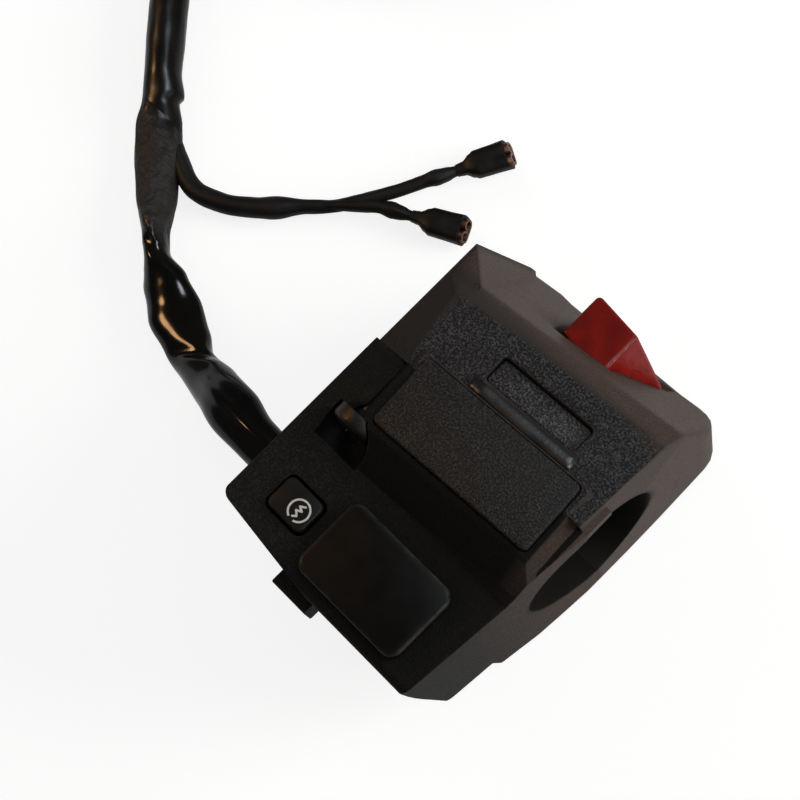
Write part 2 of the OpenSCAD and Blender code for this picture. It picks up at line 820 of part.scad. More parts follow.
// Grommet and the wires inside the housing
grommet_out = -half_len - grommet_flange_t;
grommet_in = -half_len + wall + grommet_flange_t;
module loom_grommet() {
    color("#121212")
        translate([0, loom_exit.x, loom_exit.y]) {
            rod_x(grommet_flange_d, grommet_out, -half_len);
            rod_x(grommet_neck_d, grommet_out, grommet_in);
            rod_x(grommet_flange_d, -half_len + wall, grommet_in);
        }
}
wire_d = 1.1;
wire_step = 1.6;
wire_sides = 8;
stop_wire_y = (stop_base_y[0] + stop_base_y[1]) / 2;
wire_turn = 2.4;
module stop_wires() {
    color("#a33226")
        for (k = [0, 1]) {
            x = wire_way_x + (k - 0.5) * wire_step;
            x_in = grommet_in + wire_step * (1 + k);
            z = stop_base_z[0] + 4 - (k - 0.5) * wire_step;
            y_out = loom_exit.x + wire_step * 0.6;
            z_out = loom_exit.y + (k - 0.5) * wire_step;
            tube([
                [stop_base_x[0], stop_wire_y, z], [x + 1, stop_wire_y, z], [x, stop_wire_y - 1.4, wire_way_z],
                [x, -core_r - 0.6, wire_way_z], [x_in, tail_y + wire_turn, tail_back + wall + wire_turn],
                [x_in, y_out, z_out], [grommet_in, y_out, z_out]
            ], wire_d, wire_sides);
        }
}
module start_wires() {
    color("#2f4f8f")
        for (k = [0, 1]) {
            x = button_at.x + (2 * k - 1) * start_contact_at;
            y_out = loom_exit.x - wire_step * 0.6;
            z_out = loom_exit.y - (k - 0.5) * wire_step;
            tube([
                [x, button_at.y, start_base_z[0]], [x, button_at.y, start_base_z[0] - 1.2 - 1.4 * k],
                [grommet_in + wire_step, y_out, z_out], [grommet_in, y_out, z_out]
            ], wire_d, wire_sides);
        }
}

// Loom: out of the grommet, down to the bench and away to its coil
tie_t = 1;
tie_gap = 0.1;
loom_z = bench + loom_d / 2 + tie_gap;
coil_z = loom_z + tie_t;
loom_route = [
    [grommet_out, loom_exit.x, loom_exit.y], [grommet_out - loom_d, loom_exit.x, loom_exit.y],
    [-35, -20.5, -9], [-41, -19.8, -13.4], [-47, -18.7, -16.6], [-53.5, -16, loom_z], [-61.5, -12, loom_z],
    [-68.5, -6, loom_z], [-76.5, 1.8, loom_z], [-83.5, 9.2, loom_z], [-91.5, 18, loom_z],
    [-99.5, 27, loom_z + tie_t / 2], [-107, 35.4, coil_z], [-114, 43.3, coil_z]
];
coil_loops = 1.3;
coil_rings = 24;
coil_sides = 6;
coil_start = route_end(loom_route);
coil_lead = route_dir(loom_route);
coil_from = coil_start + loom_d * coil_lead;
coil_at = coil_from + coil_r * [coil_lead.y, -coil_lead.x, 0];
coil_angle = atan2(coil_from.y - coil_at.y, coil_from.x - coil_at.x);
function coil_point(turns) =
    let (a = coil_angle - 360 * turns)
    coil_at + (coil_r - coil_step * turns) * [cos(a), sin(a), 0];
coil_turn = [for (i = [0:coil_loops * coil_rings]) coil_point(i / coil_rings)];
// The inner end swings in on a tighter bend, so that its connector lies inside the coil
tuck_r = 16;
tuck_angle = 125;
tuck_rings = 10;
tuck_from = route_end(coil_turn);
tuck_dir = route_dir(coil_turn);
tuck_at = tuck_from + tuck_r * [tuck_dir.y, -tuck_dir.x, 0];
function tuck_point(a) =
    let (v = tuck_from - tuck_at)
    tuck_at + [v.x * cos(a) + v.y * sin(a), v.y * cos(a) - v.x * sin(a), 0];
coil_tuck = [for (i = [1:tuck_rings]) tuck_point(tuck_angle * i / tuck_rings)];
coil_out = route_dir(coil_tuck);
coil_end = route_end(coil_tuck) + loom_d * coil_out;
coil_route = concat([coil_start], coil_turn, coil_tuck, [coil_end]);
coil_gap = min([
    for (i = [0:len(coil_route) - 1], j = [0:len(coil_route) - 1])
        if (j > i + coil_rings / 2) norm(coil_route[i] - coil_route[j]) - loom_d
]);
echo(coil_gap_mm = coil_gap);
module loom() {
    color("#141313") tube(loom_route, loom_d, 10);
}
module loom_coil() {
    color("#141313") tube(coil_route, loom_d, coil_sides);
}

// Tie round both turns of the coil, a quarter of a loop in
tie_turn = 0.25;
tie_w = 4;
tie_side_gap = 0.4;
module coil_tie() {
    outer = coil_r - coil_step * tie_turn;
    span = coil_step + loom_d + 2 * tie_side_gap;
    rise = loom_d + 2 * tie_gap;
    color("#1a1a1a")
        translate([coil_at.x, coil_at.y, coil_z])
            rotate([90, 0, coil_angle - 360 * tie_turn])
                translate([outer - coil_step / 2, 0, -tie_w / 2])
                    linear_extrude(tie_w)
                        difference() {
                            polygon(rounded(block(span + 2 * tie_t, rise + 2 * tie_t, 3)));
                            polygon(rounded(block(span, rise, 2)));
                        }
}

// Connector at the far end of the loom
connector_len = 17;
connector_w = 13;
connector_h = 8.6;
pin_gap = 3.6;
pin_w = 1.4;
module at_connector() {
    translate(coil_end) rotate([0, 0, atan2(coil_out.y, coil_out.x)]) children();
}
module connector_holes(size, depth) {
    for (row = [-1, 1], place = [-1, 0, 1])
        translate([connector_len - depth, place * pin_gap - size / 2, row * 1.9 - size / 2])
            cube([depth + past, size, size]);
}
module loom_connector() {
    color("#ece9df")
        at_connector() difference() {
            union() {
                along_x(block(connector_w, connector_h, 1), 0, connector_len);
                translate([connector_len * 0.35, -2, connector_h / 2]) cube([connector_len * 0.4, 4, 1.4]);
            }
            connector_holes(2.2, 5);
        }
}
module connector_pins() {
    color("#c9a14a")
        at_connector()
            for (row = [-1, 1], place = [-1, 0, 1])
                translate([connector_len - 5, place * pin_gap - pin_w / 2, row * 1.9 - pin_w / 2])
                    cube([4, pin_w, pin_w]);
}

// Brake-light branch: two leads in one sleeve, then a spade terminal on each
branch_z = bench + branch_d / 2 + tie_gap;
lead_z = bench + lead_d / 2 + tie_gap;
lead_gap = 0.2;
branch_route = [
    [-67.6, -2.1, branch_z], [-64.5, 0, branch_z], [-60.5, 1.8, branch_z], [-56.5, 4.8, branch_z],
    [-52.5, 8.8, branch_z], [-48.5, 12.6, branch_z], [-45.6, 15.4, branch_z], [-43.6, 17.4, branch_z]
];
branch_end = route_end(branch_route);
branch_dir = route_dir(branch_route);
lead_side = (lead_d + lead_gap) / 2 * [-branch_dir.y, branch_dir.x, 0];
lead_a_route = [
    branch_end + lead_side, branch_end + lead_side + lead_d * branch_dir, [-41.7, 22.4, lead_z + 0.8],
    [-40.2, 25.8, lead_z + 1.3], [-38.7, 29.2, lead_z + 1.3]
];
lead_b_route = [
    branch_end - lead_side, branch_end - lead_side + lead_d * branch_dir, [-40.4, 18.5, lead_z + 1.3],
    [-38.4, 19.5, lead_z + 1.3]
];
module branch_sleeve() {
    color("#171616") tube(branch_route, branch_d, 8);
}
module brake_lead_a() {
    color("#171616") tube(lead_a_route, lead_d, 8);
}
module brake_lead_b() {
    color("#171616") tube(lead_b_route, lead_d, 8);
}

// A female spade terminal lies along X from the end of its lead: crimp barrel, then two rolled edges
spade_len = 6.4;
spade_w = 3.2;
spade_t = 0.4;
spade_curl_d = 1.3;
crimp_len = 2.4;
sleeve_wall = 0.5;
sleeve_len = 6.4;
sleeve_start = crimp_len - 0.6;
module at_lead_ends() {
    for (route = [lead_a_route, lead_b_route])
        translate(route_end(route))
            rotate([0, 0, atan2(route_dir(route).y, route_dir(route).x)])
                children();
}
module spade_terminals() {
    color("#b5763c")
        at_lead_ends() {
            rod_x(lead_d + 0.4, 0, crimp_len);
            translate([crimp_len, -spade_w / 2, -spade_curl_d / 2]) cube([spade_len, spade_w, spade_t]);
            for (side = [-1, 1])
                translate([0, side * (spade_w / 2 - spade_curl_d / 2), 0])
                    rod_x(spade_curl_d, crimp_len, crimp_len + spade_len);
        }
}
module terminal_sleeves() {
    inner_w = spade_w + 0.3;
    inner_h = lead_d + 0.7;
    sleeve_end = sleeve_start + sleeve_len;
    color("#161515")
        at_lead_ends() difference() {
            along_x(
                block(inner_w + 2 * sleeve_wall, inner_h + 2 * sleeve_wall, 0.8),
                sleeve_start, sleeve_end
            );
            along_x(block(inner_w, inner_h, 0.5), sleeve_start - past, sleeve_end + past);
        }
}

upper_housing();
lower_housing();
middle_cover();
window_insert();
blanking_plug();
clamp_screws();
stop_rocker();
rocker_pivot_pins();
rocker_plunger();
rocker_spring();
stop_contact_bridge();
stop_contact_base();
stop_contacts();
start_button();
start_symbol();
start_spring();
start_seal();
start_retainer();
start_contact_bridge();
start_contact_base();
start_contacts();
base_screws();
loom_grommet();
stop_wires();
start_wires();
loom();
loom_coil();
coil_tie();
loom_connector();
connector_pins();
branch_sleeve();
brake_lead_a();
brake_lead_b();
spade_terminals();
terminal_sleeves();
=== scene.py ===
"""Looks of a right-hand handlebar switch cluster: its finishes, its cords and its small rounded details."""

import math

import bmesh
import bpy
from mathutils import Matrix, Vector, noise


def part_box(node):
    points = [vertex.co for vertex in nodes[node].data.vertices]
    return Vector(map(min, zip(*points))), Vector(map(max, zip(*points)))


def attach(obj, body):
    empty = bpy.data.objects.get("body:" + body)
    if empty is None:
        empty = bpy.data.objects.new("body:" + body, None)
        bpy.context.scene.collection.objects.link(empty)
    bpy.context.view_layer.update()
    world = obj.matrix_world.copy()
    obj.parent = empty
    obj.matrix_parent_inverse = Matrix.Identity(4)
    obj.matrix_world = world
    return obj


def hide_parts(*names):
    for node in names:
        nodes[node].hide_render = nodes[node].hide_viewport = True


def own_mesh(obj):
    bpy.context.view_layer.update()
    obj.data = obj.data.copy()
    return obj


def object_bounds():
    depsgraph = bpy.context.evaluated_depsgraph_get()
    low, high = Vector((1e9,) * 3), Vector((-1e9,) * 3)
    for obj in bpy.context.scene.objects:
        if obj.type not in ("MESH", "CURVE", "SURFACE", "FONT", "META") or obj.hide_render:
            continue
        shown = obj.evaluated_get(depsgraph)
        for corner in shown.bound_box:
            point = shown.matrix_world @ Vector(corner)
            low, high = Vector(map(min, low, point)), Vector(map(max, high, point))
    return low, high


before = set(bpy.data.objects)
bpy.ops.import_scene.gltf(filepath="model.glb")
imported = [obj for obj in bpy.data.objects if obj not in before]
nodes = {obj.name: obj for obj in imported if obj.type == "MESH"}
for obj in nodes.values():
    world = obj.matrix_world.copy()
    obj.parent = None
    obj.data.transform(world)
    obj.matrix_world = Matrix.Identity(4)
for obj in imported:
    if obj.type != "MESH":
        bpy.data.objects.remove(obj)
cad_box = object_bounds()
scene = bpy.context.scene
MM = 0.001
BENCH = cad_box[0].z

# The photograph's camera: its distance, its focal length in pixels and the way it leans and rolls
PHOTO_PX = 800
FOCAL_PX = 2190
SENSOR_MM = 36
CAMERA_NEAREST = 10 * MM
CAMERA_DISTANCE = 300 * MM
CAMERA_TARGET = Vector((-14.55, -3, 0)) * MM
CAMERA_LEAN_X = math.radians(15.9)
CAMERA_LEAN_Y = math.radians(-4)
CAMERA_ROLL = math.radians(44)


def make_camera():
    back = Vector((math.tan(CAMERA_LEAN_X), math.tan(CAMERA_LEAN_Y), 1)).normalized()
    across = (Vector((1, 0, 0)) - back * back.x).normalized()
    along = back.cross(across)
    right = across * math.cos(CAMERA_ROLL) + along * math.sin(CAMERA_ROLL)
    up = along * math.cos(CAMERA_ROLL) - across * math.sin(CAMERA_ROLL)
    data = bpy.data.cameras.new("photo_camera")
    data.sensor_width = SENSOR_MM
    data.lens = SENSOR_MM * FOCAL_PX / PHOTO_PX
    data.clip_start = CAMERA_NEAREST
    camera = bpy.data.objects.new("photo_camera", data)
    turn = Matrix((right, up, back)).transposed().to_4x4()
    camera.matrix_world = Matrix.Translation(CAMERA_TARGET + CAMERA_DISTANCE * back) @ turn
    scene.collection.objects.link(camera)
    scene.camera = camera


# Meshes made here, and the angles in degrees from which their edges stay sharp
CORD_SHARP = 70
MOULDED_SHARP = 50
ROLLED_SHARP = 40
TURNED_SHARP = 35
# Folds of a soft sleeve, broad ones and finer ones: how close they are round it and along it, and their depth
BROAD_ROUND = 1.6
FINE_ROUND = 4
FINE_ALONG = 2.5
FINE_DEPTH = 0.5


def add_object(name, mesh, body, material):
    piece = bpy.data.objects.new(name, mesh)
    scene.collection.objects.link(piece)
    mesh.materials.append(material)
    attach(piece, body)
    return piece


def node_copy(name, copy_name):
    """A copy of a node's mesh, without its materials."""
    mesh = nodes[name].data.copy()
    mesh.name = copy_name
    mesh.materials.clear()
    return mesh


def to_data(mesh, name, sharp):
    """The mesh's data under a name, shaded smooth but for its sharp edges."""
    data = bpy.data.meshes.new(name)
    mesh.to_mesh(data)
    mesh.free()
    for face in data.polygons:
        face.use_smooth = True
    data.set_sharp_from_angle(angle=math.radians(sharp))
    return data


def at_height(places_mm, z):
    return [Vector((x * MM, y * MM, z)) for x, y in places_mm]


def above_bench(p):
    return Vector((p.x, p.y, max(p.z, BENCH)))


def held(share):
    return min(1, max(0, share))


def curve_through(points, step):
    """Points every step along one smooth curve through the given points."""
    ends = [2 * points[0] - points[1]] + points + [2 * points[-1] - points[-2]]
    found = []
    for i in range(1, len(ends) - 2):
        p0, p1, p2, p3 = ends[i - 1:i + 3]
        count = max(1, round((p2 - p1).length / step))
        for k in range(count):
            t = k / count
            found.append(0.5 * (2 * p1 + (p2 - p0) * t + (2 * p0 - 5 * p1 + 4 * p2 - p3) * t * t
                                + (3 * p1 - p0 - 3 * p2 + p3) * t * t * t))
    found.append(points[-1])
    return found


def lengths_along(path):
    run = [0.0]
    for a, b in zip(path, path[1:]):
        run.append(run[-1] + (b - a).length)
    return run


def between(keys, s):
    """Values at s, eased between the keys (place, value, value, ...)."""
    if s <= keys[0][0]:
        return keys[0][1:]
    for a, b in zip(keys, keys[1:]):
        if s <= b[0]:
            t = (s - a[0]) / (b[0] - a[0])
            t = t * t * (3 - 2 * t)
            return [x + (y - x) * t for x, y in zip(a[1:], b[1:])]
    return keys[-1][1:]


def rounded_section(half_w, half_h, roundness, sides):
    """Points round a section, an ellipse at roundness 1 and squarer below it."""
    points = []
    for k in range(sides):
        a = 2 * math.pi * k / sides
        c = math.cos(a)
        n = math.sin(a)
        u = half_w * math.copysign(abs(c) ** roundness, c)
        v = half_h * math.copysign(abs(n) ** roundness, n)
        points.append((u, v))
    return points


def frame_at(path, i):
    """The way along a path at one of its points, and the two directions across it."""
    way = (path[min(i + 1, len(path) - 1)] - path[max(i - 1, 0)]).normalized()
    side = way.cross(Vector((0, 0, 1))).normalized()
    return way, side, side.cross(way)


def folds(a, along):
    """How far a soft sleeve's skin goes in or out at an angle round it and a place along it."""
    c = math.cos(a)
    n = math.sin(a)
    broad = noise.noise(Vector((BROAD_ROUND * c, BROAD_ROUND * n, along)))
    fine = noise.noise(Vector((FINE_ROUND * c, FINE_ROUND * n, FINE_ALONG * along)))
    return broad + FINE_DEPTH * fine


def skin(rings):
    """One closed mesh over rings of equally many points."""
    mesh = bmesh.new()
    made = [[mesh.verts.new(p) for p in ring] for ring in rings]
    for low, high in zip(made, made[1:]):
        for k in range(len(low)):
            j = (k + 1) % len(low)
            mesh.faces.new((low[k], low[j], high[j], high[k]))
    mesh.faces.new(made[0][::-1])
    mesh.faces.new(made[-1])
    bmesh.ops.recalc_face_normals(mesh, faces=mesh.faces)
    return mesh


def join(*meshes):
    """The first mesh with the others added to it."""
    for other in meshes[1:]:
        moved = {v: meshes[0].verts.new(v.co) for v in other.verts}
        for face in other.faces:
            meshes[0].faces.new([moved[v] for v in face.verts])
        other.free()
    return meshes[0]


# Finishes: the parts of a noise's range that are stretched to the whole of it
NOISE_MIDDLE = (0.35, 0.65)
NOISE_WIDE = (0.3, 0.7)
EVEN = (1, 1, 1)
# The colour sockets of a mix and of its result
MIX_COLOURS = (6, 7)
MIX_RESULT = 2
# Rubbed edges, which on the plug also carry a painted highlight: how far the surface bends at them, how much
# air is round them, and their broken patches
EDGE_SAMPLES = 4
EDGE_BEND = (0.995, 0.88)
EDGE_AIR = (0.6, 0.9)
AIR_REACH = 4
RUB_PATCH = 1.5 * MM
RUB_LEAST = 0.35


def put(tree, kind, inputs=None, **settings):
    """A new shader node. Its inputs are numbers, colours or the sockets that are linked to them."""
    made = tree.nodes.new("ShaderNode" + kind)
    for key, value in settings.items():
        setattr(made, key, value)
    for key, value in (inputs or {}).items():
        if isinstance(value, bpy.types.NodeSocket):
            tree.links.new(value, made.inputs[key])
        else:
            made.inputs[key].default_value = value
    return made


def surface(name, **sockets):
    """A new principled material: itself, its tree and its shader."""
    material = bpy.data.materials.new(name)
    material.use_nodes = True
    tree = material.node_tree
    shader = tree.nodes["Principled BSDF"]
    for socket, value in sockets.items():
        shader.inputs[socket.replace("_", " ")].default_value = value
    return material, tree, shader


def lumps(tree, size, detail=3, stretch=EVEN):
    """Smooth noise from 0 to 1, its lumps about the given size."""
    place = put(tree, "TexCoord").outputs["Object"]
    if stretch != EVEN:
        place = put(tree, "Mapping", {"Vector": place, "Scale": stretch}).outputs[0]
    made = put(tree, "TexNoise", {"Vector": place, "Scale": 1 / size, "Detail": detail})
    return made.outputs[0]


def cells(tree, size):
    """The distance to the middle of small round cells."""
    place = put(tree, "TexCoord").outputs["Object"]
    return put(tree, "TexVoronoi", {"Vector": place, "Scale": 1 / size}).outputs["Distance"]


def spread(tree, value, low, high, to_low=0.0, to_high=1.0):
    """The value, with its range from low to high stretched to another one and held there."""
    ends = {"Value": value, "From Min": low, "From Max": high, "To Min": to_low, "To Max": to_high}
    return put(tree, "MapRange", ends).outputs[0]


def both(tree, a, b, operation="MULTIPLY"):
    return put(tree, "Math", {0: a, 1: b}, operation=operation).outputs[0]


def toned(tree, share, a, b):
    """One colour passing into another by a share."""
    made = put(tree, "Mix", {0: share}, data_type="RGBA")
    for index, colour in zip(MIX_COLOURS, (a, b)):
        if isinstance(colour, bpy.types.NodeSocket):
            tree.links.new(colour, made.inputs[index])
        else:
            made.inputs[index].default_value = (*colour, 1)
    return made.outputs[MIX_RESULT]


def soft_normal(tree, radius):
    return put(tree, "Bevel", {"Radius": radius}, samples=EDGE_SAMPLES).outputs["Normal"]


def rubbed_and_lit_edges(tree, radius):
    """One on outer edges, none on flat faces and in inner corners, broken up by noise."""
    flat = put(tree, "NewGeometry").outputs["Normal"]
    bend = put(tree, "VectorMath", {0: soft_normal(tree, radius), 1: flat}, operation="DOT_PRODUCT")
    bent = spread(tree, bend.outputs["Value"], *EDGE_BEND)
    reach = {"Distance": AIR_REACH * radius}
    air = put(tree, "AmbientOcclusion", reach, samples=EDGE_SAMPLES, only_local=True).outputs["AO"]
    outer = both(tree, bent, spread(tree, air, *EDGE_AIR))
    return both(tree, outer, spread(tree, lumps(tree, RUB_PATCH), *NOISE_MIDDLE, RUB_LEAST, 1))


def bumped(tree, shader, height, depth, radius):
    """Links a height times a depth to the shader's normal, over rounded edges."""
    inputs = {"Height": height, "Distance": depth, "Strength": 1.0}
    if radius:
        inputs["Normal"] = soft_normal(tree, radius)
    tree.links.new(put(tree, "Bump", inputs).outputs[0], shader.inputs["Normal"])


# Plain plastic: the usual size of its patches, and the lumps of its relief in sizes of its grain
PATCH = 6 * MM
LUMPS_PER_GRAIN = 2.5
# Stains and drawing marks of metal
STAIN_PATCH = 2 * MM
STAIN_RANGE = (0.4, 0.7)
MARK_SIZE = 0.25 * MM
MARK_DEPTH = 0.004 * MM


def plastic(name, colour, second, rough, grain, depth, rubbed_and_lit_tone=None, radius=0.0, patch=PATCH, **sockets):
    """Moulded plastic or rubber: two tones in soft patches, uneven gloss, a grain, and paler rubbed edges,
    which on the plug are partly a painted highlight.
    """
    material, tree, shader = surface(name, **sockets)
    patches = spread(tree, lumps(tree, patch, detail=5), *NOISE_MIDDLE)
    tone = toned(tree, patches, colour, second)
    if rubbed_and_lit_tone:
        tone = toned(tree, rubbed_and_lit_edges(tree, radius), tone, rubbed_and_lit_tone)
    tree.links.new(tone, shader.inputs["Base Color"])
    gloss = spread(tree, lumps(tree, patch / 2, detail=4), *NOISE_WIDE, *rough)
    tree.links.new(gloss, shader.inputs["Roughness"])
    height = both(tree, cells(tree, grain), lumps(tree, LUMPS_PER_GRAIN * grain), "ADD")
    bumped(tree, shader, height, depth, radius)
    return material


def metal(name, colour, second, rough, stretch=EVEN, radius=0.0):
    """Bare or plated metal with darker stains and fine drawing marks."""
    material, tree, shader = surface(name, Metallic=1.0)
    stains = spread(tree, lumps(tree, STAIN_PATCH, detail=6), *STAIN_RANGE)
    tree.links.new(toned(tree, stains, colour, second), shader.inputs["Base Color"])
    marks = lumps(tree, MARK_SIZE, detail=4, stretch=stretch)
    tree.links.new(spread(tree, marks, *NOISE_WIDE, *rough), shader.inputs["Roughness"])
    bumped(tree, shader, marks, MARK_DEPTH, radius)
    return material


# Moulded grain of the black plastic, which shows more in some patches than in others; its pale pebble tops
# are partly painted glints
GRAIN = 0.27 * MM
GRAIN_DEPTH = 0.05 * MM
PEBBLE_RANGE = (0.42, 0.76)
SHOWN_PATCH = 3 * MM
SHOWN_RANGE = (0.3, 0.65)
SHOWN_LEAST = 0.6
# Fine grit of its ungrained faces
GRIT = 0.3 * MM
GRIT_HEIGHT = 0.2
# Its edges, which are softer towards the top
EDGE_R = 0.3 * MM
SOFT_EDGE_R = 2.2 * MM
SOFT_TOP = (9 * MM, 12 * MM)
# Where the housing's tones pass into each other: its front faces, its pale top, its pale end with painted
# shade that darkens it downwards, its smooth corner, its browner upper walls, its bore, and its front that
# fades along the bar. The pale top and end are partly painted light.
FRONT_FACING = (0.8, 0.95)
PALE_TOP = (13.2 * MM, 15.6 * MM)
PALE_END = (15.2 * MM, 17.2 * MM)
# Painted shade: over this height the pale end darkens downwards.
END_SHADED_DOWNWARDS = (-22 * MM, -5 * MM)
CORNER_X = (-13 * MM, -15.5 * MM)
CORNER_Y = (0, 3 * MM)
BROWN_FROM = (-1 * MM, 4 * MM)
BORE_R = (11.3 * MM, 11.7 * MM)
FADE_X = (-16 * MM, 8 * MM)
# The tones themselves, and the roughness
# The pale tones are partly painted light: the top and end are paler for the light they catch, as well as for
# their smooth matt finish.
PALE_AND_LIT_TONES = ((0.074, 0.0545, 0.0455), (0.047, 0.034, 0.028))
DARK_TONES = ((0.016, 0.0148, 0.014), (0.011, 0.0102, 0.0098))
BROWN_TONE = (0.032, 0.0275, 0.0245)
BORE_TONE = (0.014, 0.0125, 0.0115)
FADED_BLACK = (0.0075, 0.0074, 0.007)
HOUSING_RUBBED = (0.05, 0.043, 0.039)
HOUSING_ROUGH = (0.54, 0.64)
COVER_RUBBED = (0.06, 0.053, 0.048)
COVER_ROUGH = (0.52, 0.4)
COVER_SHEEN = 0.08


def pebbles(tree):
    """The close pebbles of a moulded grain, from 0 in the gaps to 1 on their tops."""
    return spread(tree, lumps(tree, GRAIN, detail=1), *PEBBLE_RANGE)


def pebbled_with_glints(tree, gaps, tops):
    """A tone that is dark between the pebbles and paler on their tops, in some places more so. The pale tops
    are partly painted glints of light on the grain.
    """
    shown = spread(tree, lumps(tree, SHOWN_PATCH, detail=4), *SHOWN_RANGE, SHOWN_LEAST, 1)
    return toned(tree, both(tree, pebbles(tree), shown), gaps, tops)


def housing_plastic(name, gaps, tops, sheen, fade):
    """Black glass-filled plastic: its front faces are grained, the pale tops of the grain partly painted
    glints; its top and its end are brown-grey and matt, and paler partly as painted light for the light they
    catch; its end has painted shade that darkens it downwards; its bore is plain. The front fades to plain
    black along the bar by a share."""
    material, tree, shader = surface(name, Specular_IOR_Level=sheen)
    coordinates = put(tree, "TexCoord")
    facing = put(tree, "SeparateXYZ", {0: coordinates.outputs["Normal"]}).outputs["Z"]
    place = put(tree, "SeparateXYZ", {0: coordinates.outputs["Object"]})
    x = place.outputs["X"]
    y = place.outputs["Y"]
    section = put(tree, "CombineXYZ", {"Y": y, "Z": place.outputs["Z"]}).outputs[0]
    from_axis = put(tree, "VectorMath", {0: section}, operation="LENGTH").outputs["Value"]
    outside = spread(tree, from_axis, *BORE_R)
    top = spread(tree, y, *PALE_TOP)
    corner = both(tree, spread(tree, x, *CORNER_X), spread(tree, y, *CORNER_Y))
    ungrained = both(tree, top, corner, "MAXIMUM")
    front = both(tree, spread(tree, facing, *FRONT_FACING), spread(tree, ungrained, 0, 1, 1, 0))
    front = both(tree, front, outside)
    # Painted shade: the pale end darkens towards the bottom.
    end = both(tree, spread(tree, x, *PALE_END), spread(tree, y, *END_SHADED_DOWNWARDS))
    end = both(tree, end, outside)
    grit = spread(tree, lumps(tree, GRIT, detail=2), *NOISE_WIDE)
    pale = toned(tree, grit, *PALE_AND_LIT_TONES)
    dark = toned(tree, grit, *DARK_TONES)
    dark = toned(tree, spread(tree, y, *BROWN_FROM), dark, BROWN_TONE)
    dark = toned(tree, outside, BORE_TONE, dark)
    # Painted light in part: the top and the end take the pale tones.
    flank = toned(tree, both(tree, top, end, "MAXIMUM"), dark, pale)
    faded = spread(tree, x, *FADE_X, 0, fade)
    panel = toned(tree, faded, pebbled_with_glints(tree, gaps, tops), FADED_BLACK)
    tone = toned(tree, front, flank, panel)
    tone = toned(tree, rubbed_and_lit_edges(tree, EDGE_R), tone, HOUSING_RUBBED)
    tree.links.new(tone, shader.inputs["Base Color"])
    tree.links.new(spread(tree, grit, 0, 1, *HOUSING_ROUGH), shader.inputs["Roughness"])
    height = toned(tree, front, spread(tree, grit, 0, 1, 0, GRIT_HEIGHT), pebbles(tree))
    soft_r = spread(tree, y, *SOFT_TOP, EDGE_R, SOFT_EDGE_R)
    bumped(tree, shader, height, GRAIN_DEPTH, soft_r)
    return material


def grained_plastic(name, gaps, tops):
    """The same black plastic on the separate covers, grained all over, the pale tops of its grain partly
    painted glints.
    """
    material, tree, shader = surface(name, Specular_IOR_Level=COVER_SHEEN)
    tone = pebbled_with_glints(tree, gaps, tops)
    tone = toned(tree, rubbed_and_lit_edges(tree, EDGE_R), tone, COVER_RUBBED)
    tree.links.new(tone, shader.inputs["Base Color"])
    tree.links.new(spread(tree, pebbles(tree), 0, 1, *COVER_ROUGH), shader.inputs["Roughness"])
    bumped(tree, shader, pebbles(tree), GRAIN_DEPTH, EDGE_R)
    return material


# Loom sleeve: its tones, its gloss that is duller beyond the tape, and the tape with its wrinkles
LOOM_SHEEN = 0.11
LOOM_PATCH = 9 * MM
LOOM_TONES = ((0.0045, 0.0042, 0.004), (0.009, 0.008, 0.0072))
GLOSS_PATCH = 4 * MM
LOOM_ROUGH = (0.12, 0.2)
DULLER_BEYOND = 0.14
TAPE_STARTS = (-10.3 * MM, -7.7 * MM)
TAPE_ENDS = (4.4 * MM, 1.8 * MM)
TAPE_TONE = (0.024, 0.0225, 0.022)
TAPE_DULLER = 0.45
WRINKLE_SIZE = 1.9 * MM
WRINKLE_DEPTH = 1.1 * MM
WRINKLE_ELSEWHERE = 0.01


def loom_plastic(name):
    """Glossy black sleeve, with a stretch of matt wrinkled tape where the branch leaves it."""
    material, tree, shader = surface(name, Specular_IOR_Level=LOOM_SHEEN)
    along = put(tree, "SeparateXYZ", {0: put(tree, "TexCoord").outputs["Object"]}).outputs["Y"]
    tape = both(tree, spread(tree, along, *TAPE_STARTS), spread(tree, along, *TAPE_ENDS))
    patches = spread(tree, lumps(tree, LOOM_PATCH, detail=5), *NOISE_MIDDLE)
    tone = toned(tree, patches, *LOOM_TONES)
    tree.links.new(toned(tree, tape, tone, TAPE_TONE), shader.inputs["Base Color"])
    gloss = spread(tree, lumps(tree, GLOSS_PATCH, detail=4), *NOISE_WIDE, *LOOM_ROUGH)
    gloss = both(tree, gloss, spread(tree, along, *TAPE_ENDS, DULLER_BEYOND, 0), "ADD")
    gloss = both(tree, gloss, spread(tree, tape, 0, 1, 0, TAPE_DULLER), "ADD")
    tree.links.new(gloss, shader.inputs["Roughness"])
    wrinkled = spread(tree, tape, 0, 1, WRINKLE_ELSEWHERE, 1)
    wrinkles = both(tree, lumps(tree, WRINKLE_SIZE), wrinkled)
    bumped(tree, shader, wrinkles, WRINKLE_DEPTH, 0)
    return material


# The pale tops of the grain in these tones are partly painted glints.
upper_black = housing_plastic(
    "upper_black", gaps=(0.009, 0.0088, 0.0089), tops=(0.107, 0.1055, 0.111), sheen=0.06, fade=0)
lower_black = housing_plastic(
    "lower_black", gaps=(0.013, 0.013, 0.0117), tops=(0.036, 0.036, 0.032), sheen=0.02, fade=0.8)
cover_black = grained_plastic("cover_black", gaps=(0.0065, 0.0063, 0.0061), tops=(0.059, 0.0577, 0.0555))
insert_black = grained_plastic("insert_black", gaps=(0.013, 0.0128, 0.0132), tops=(0.178, 0.176, 0.185))
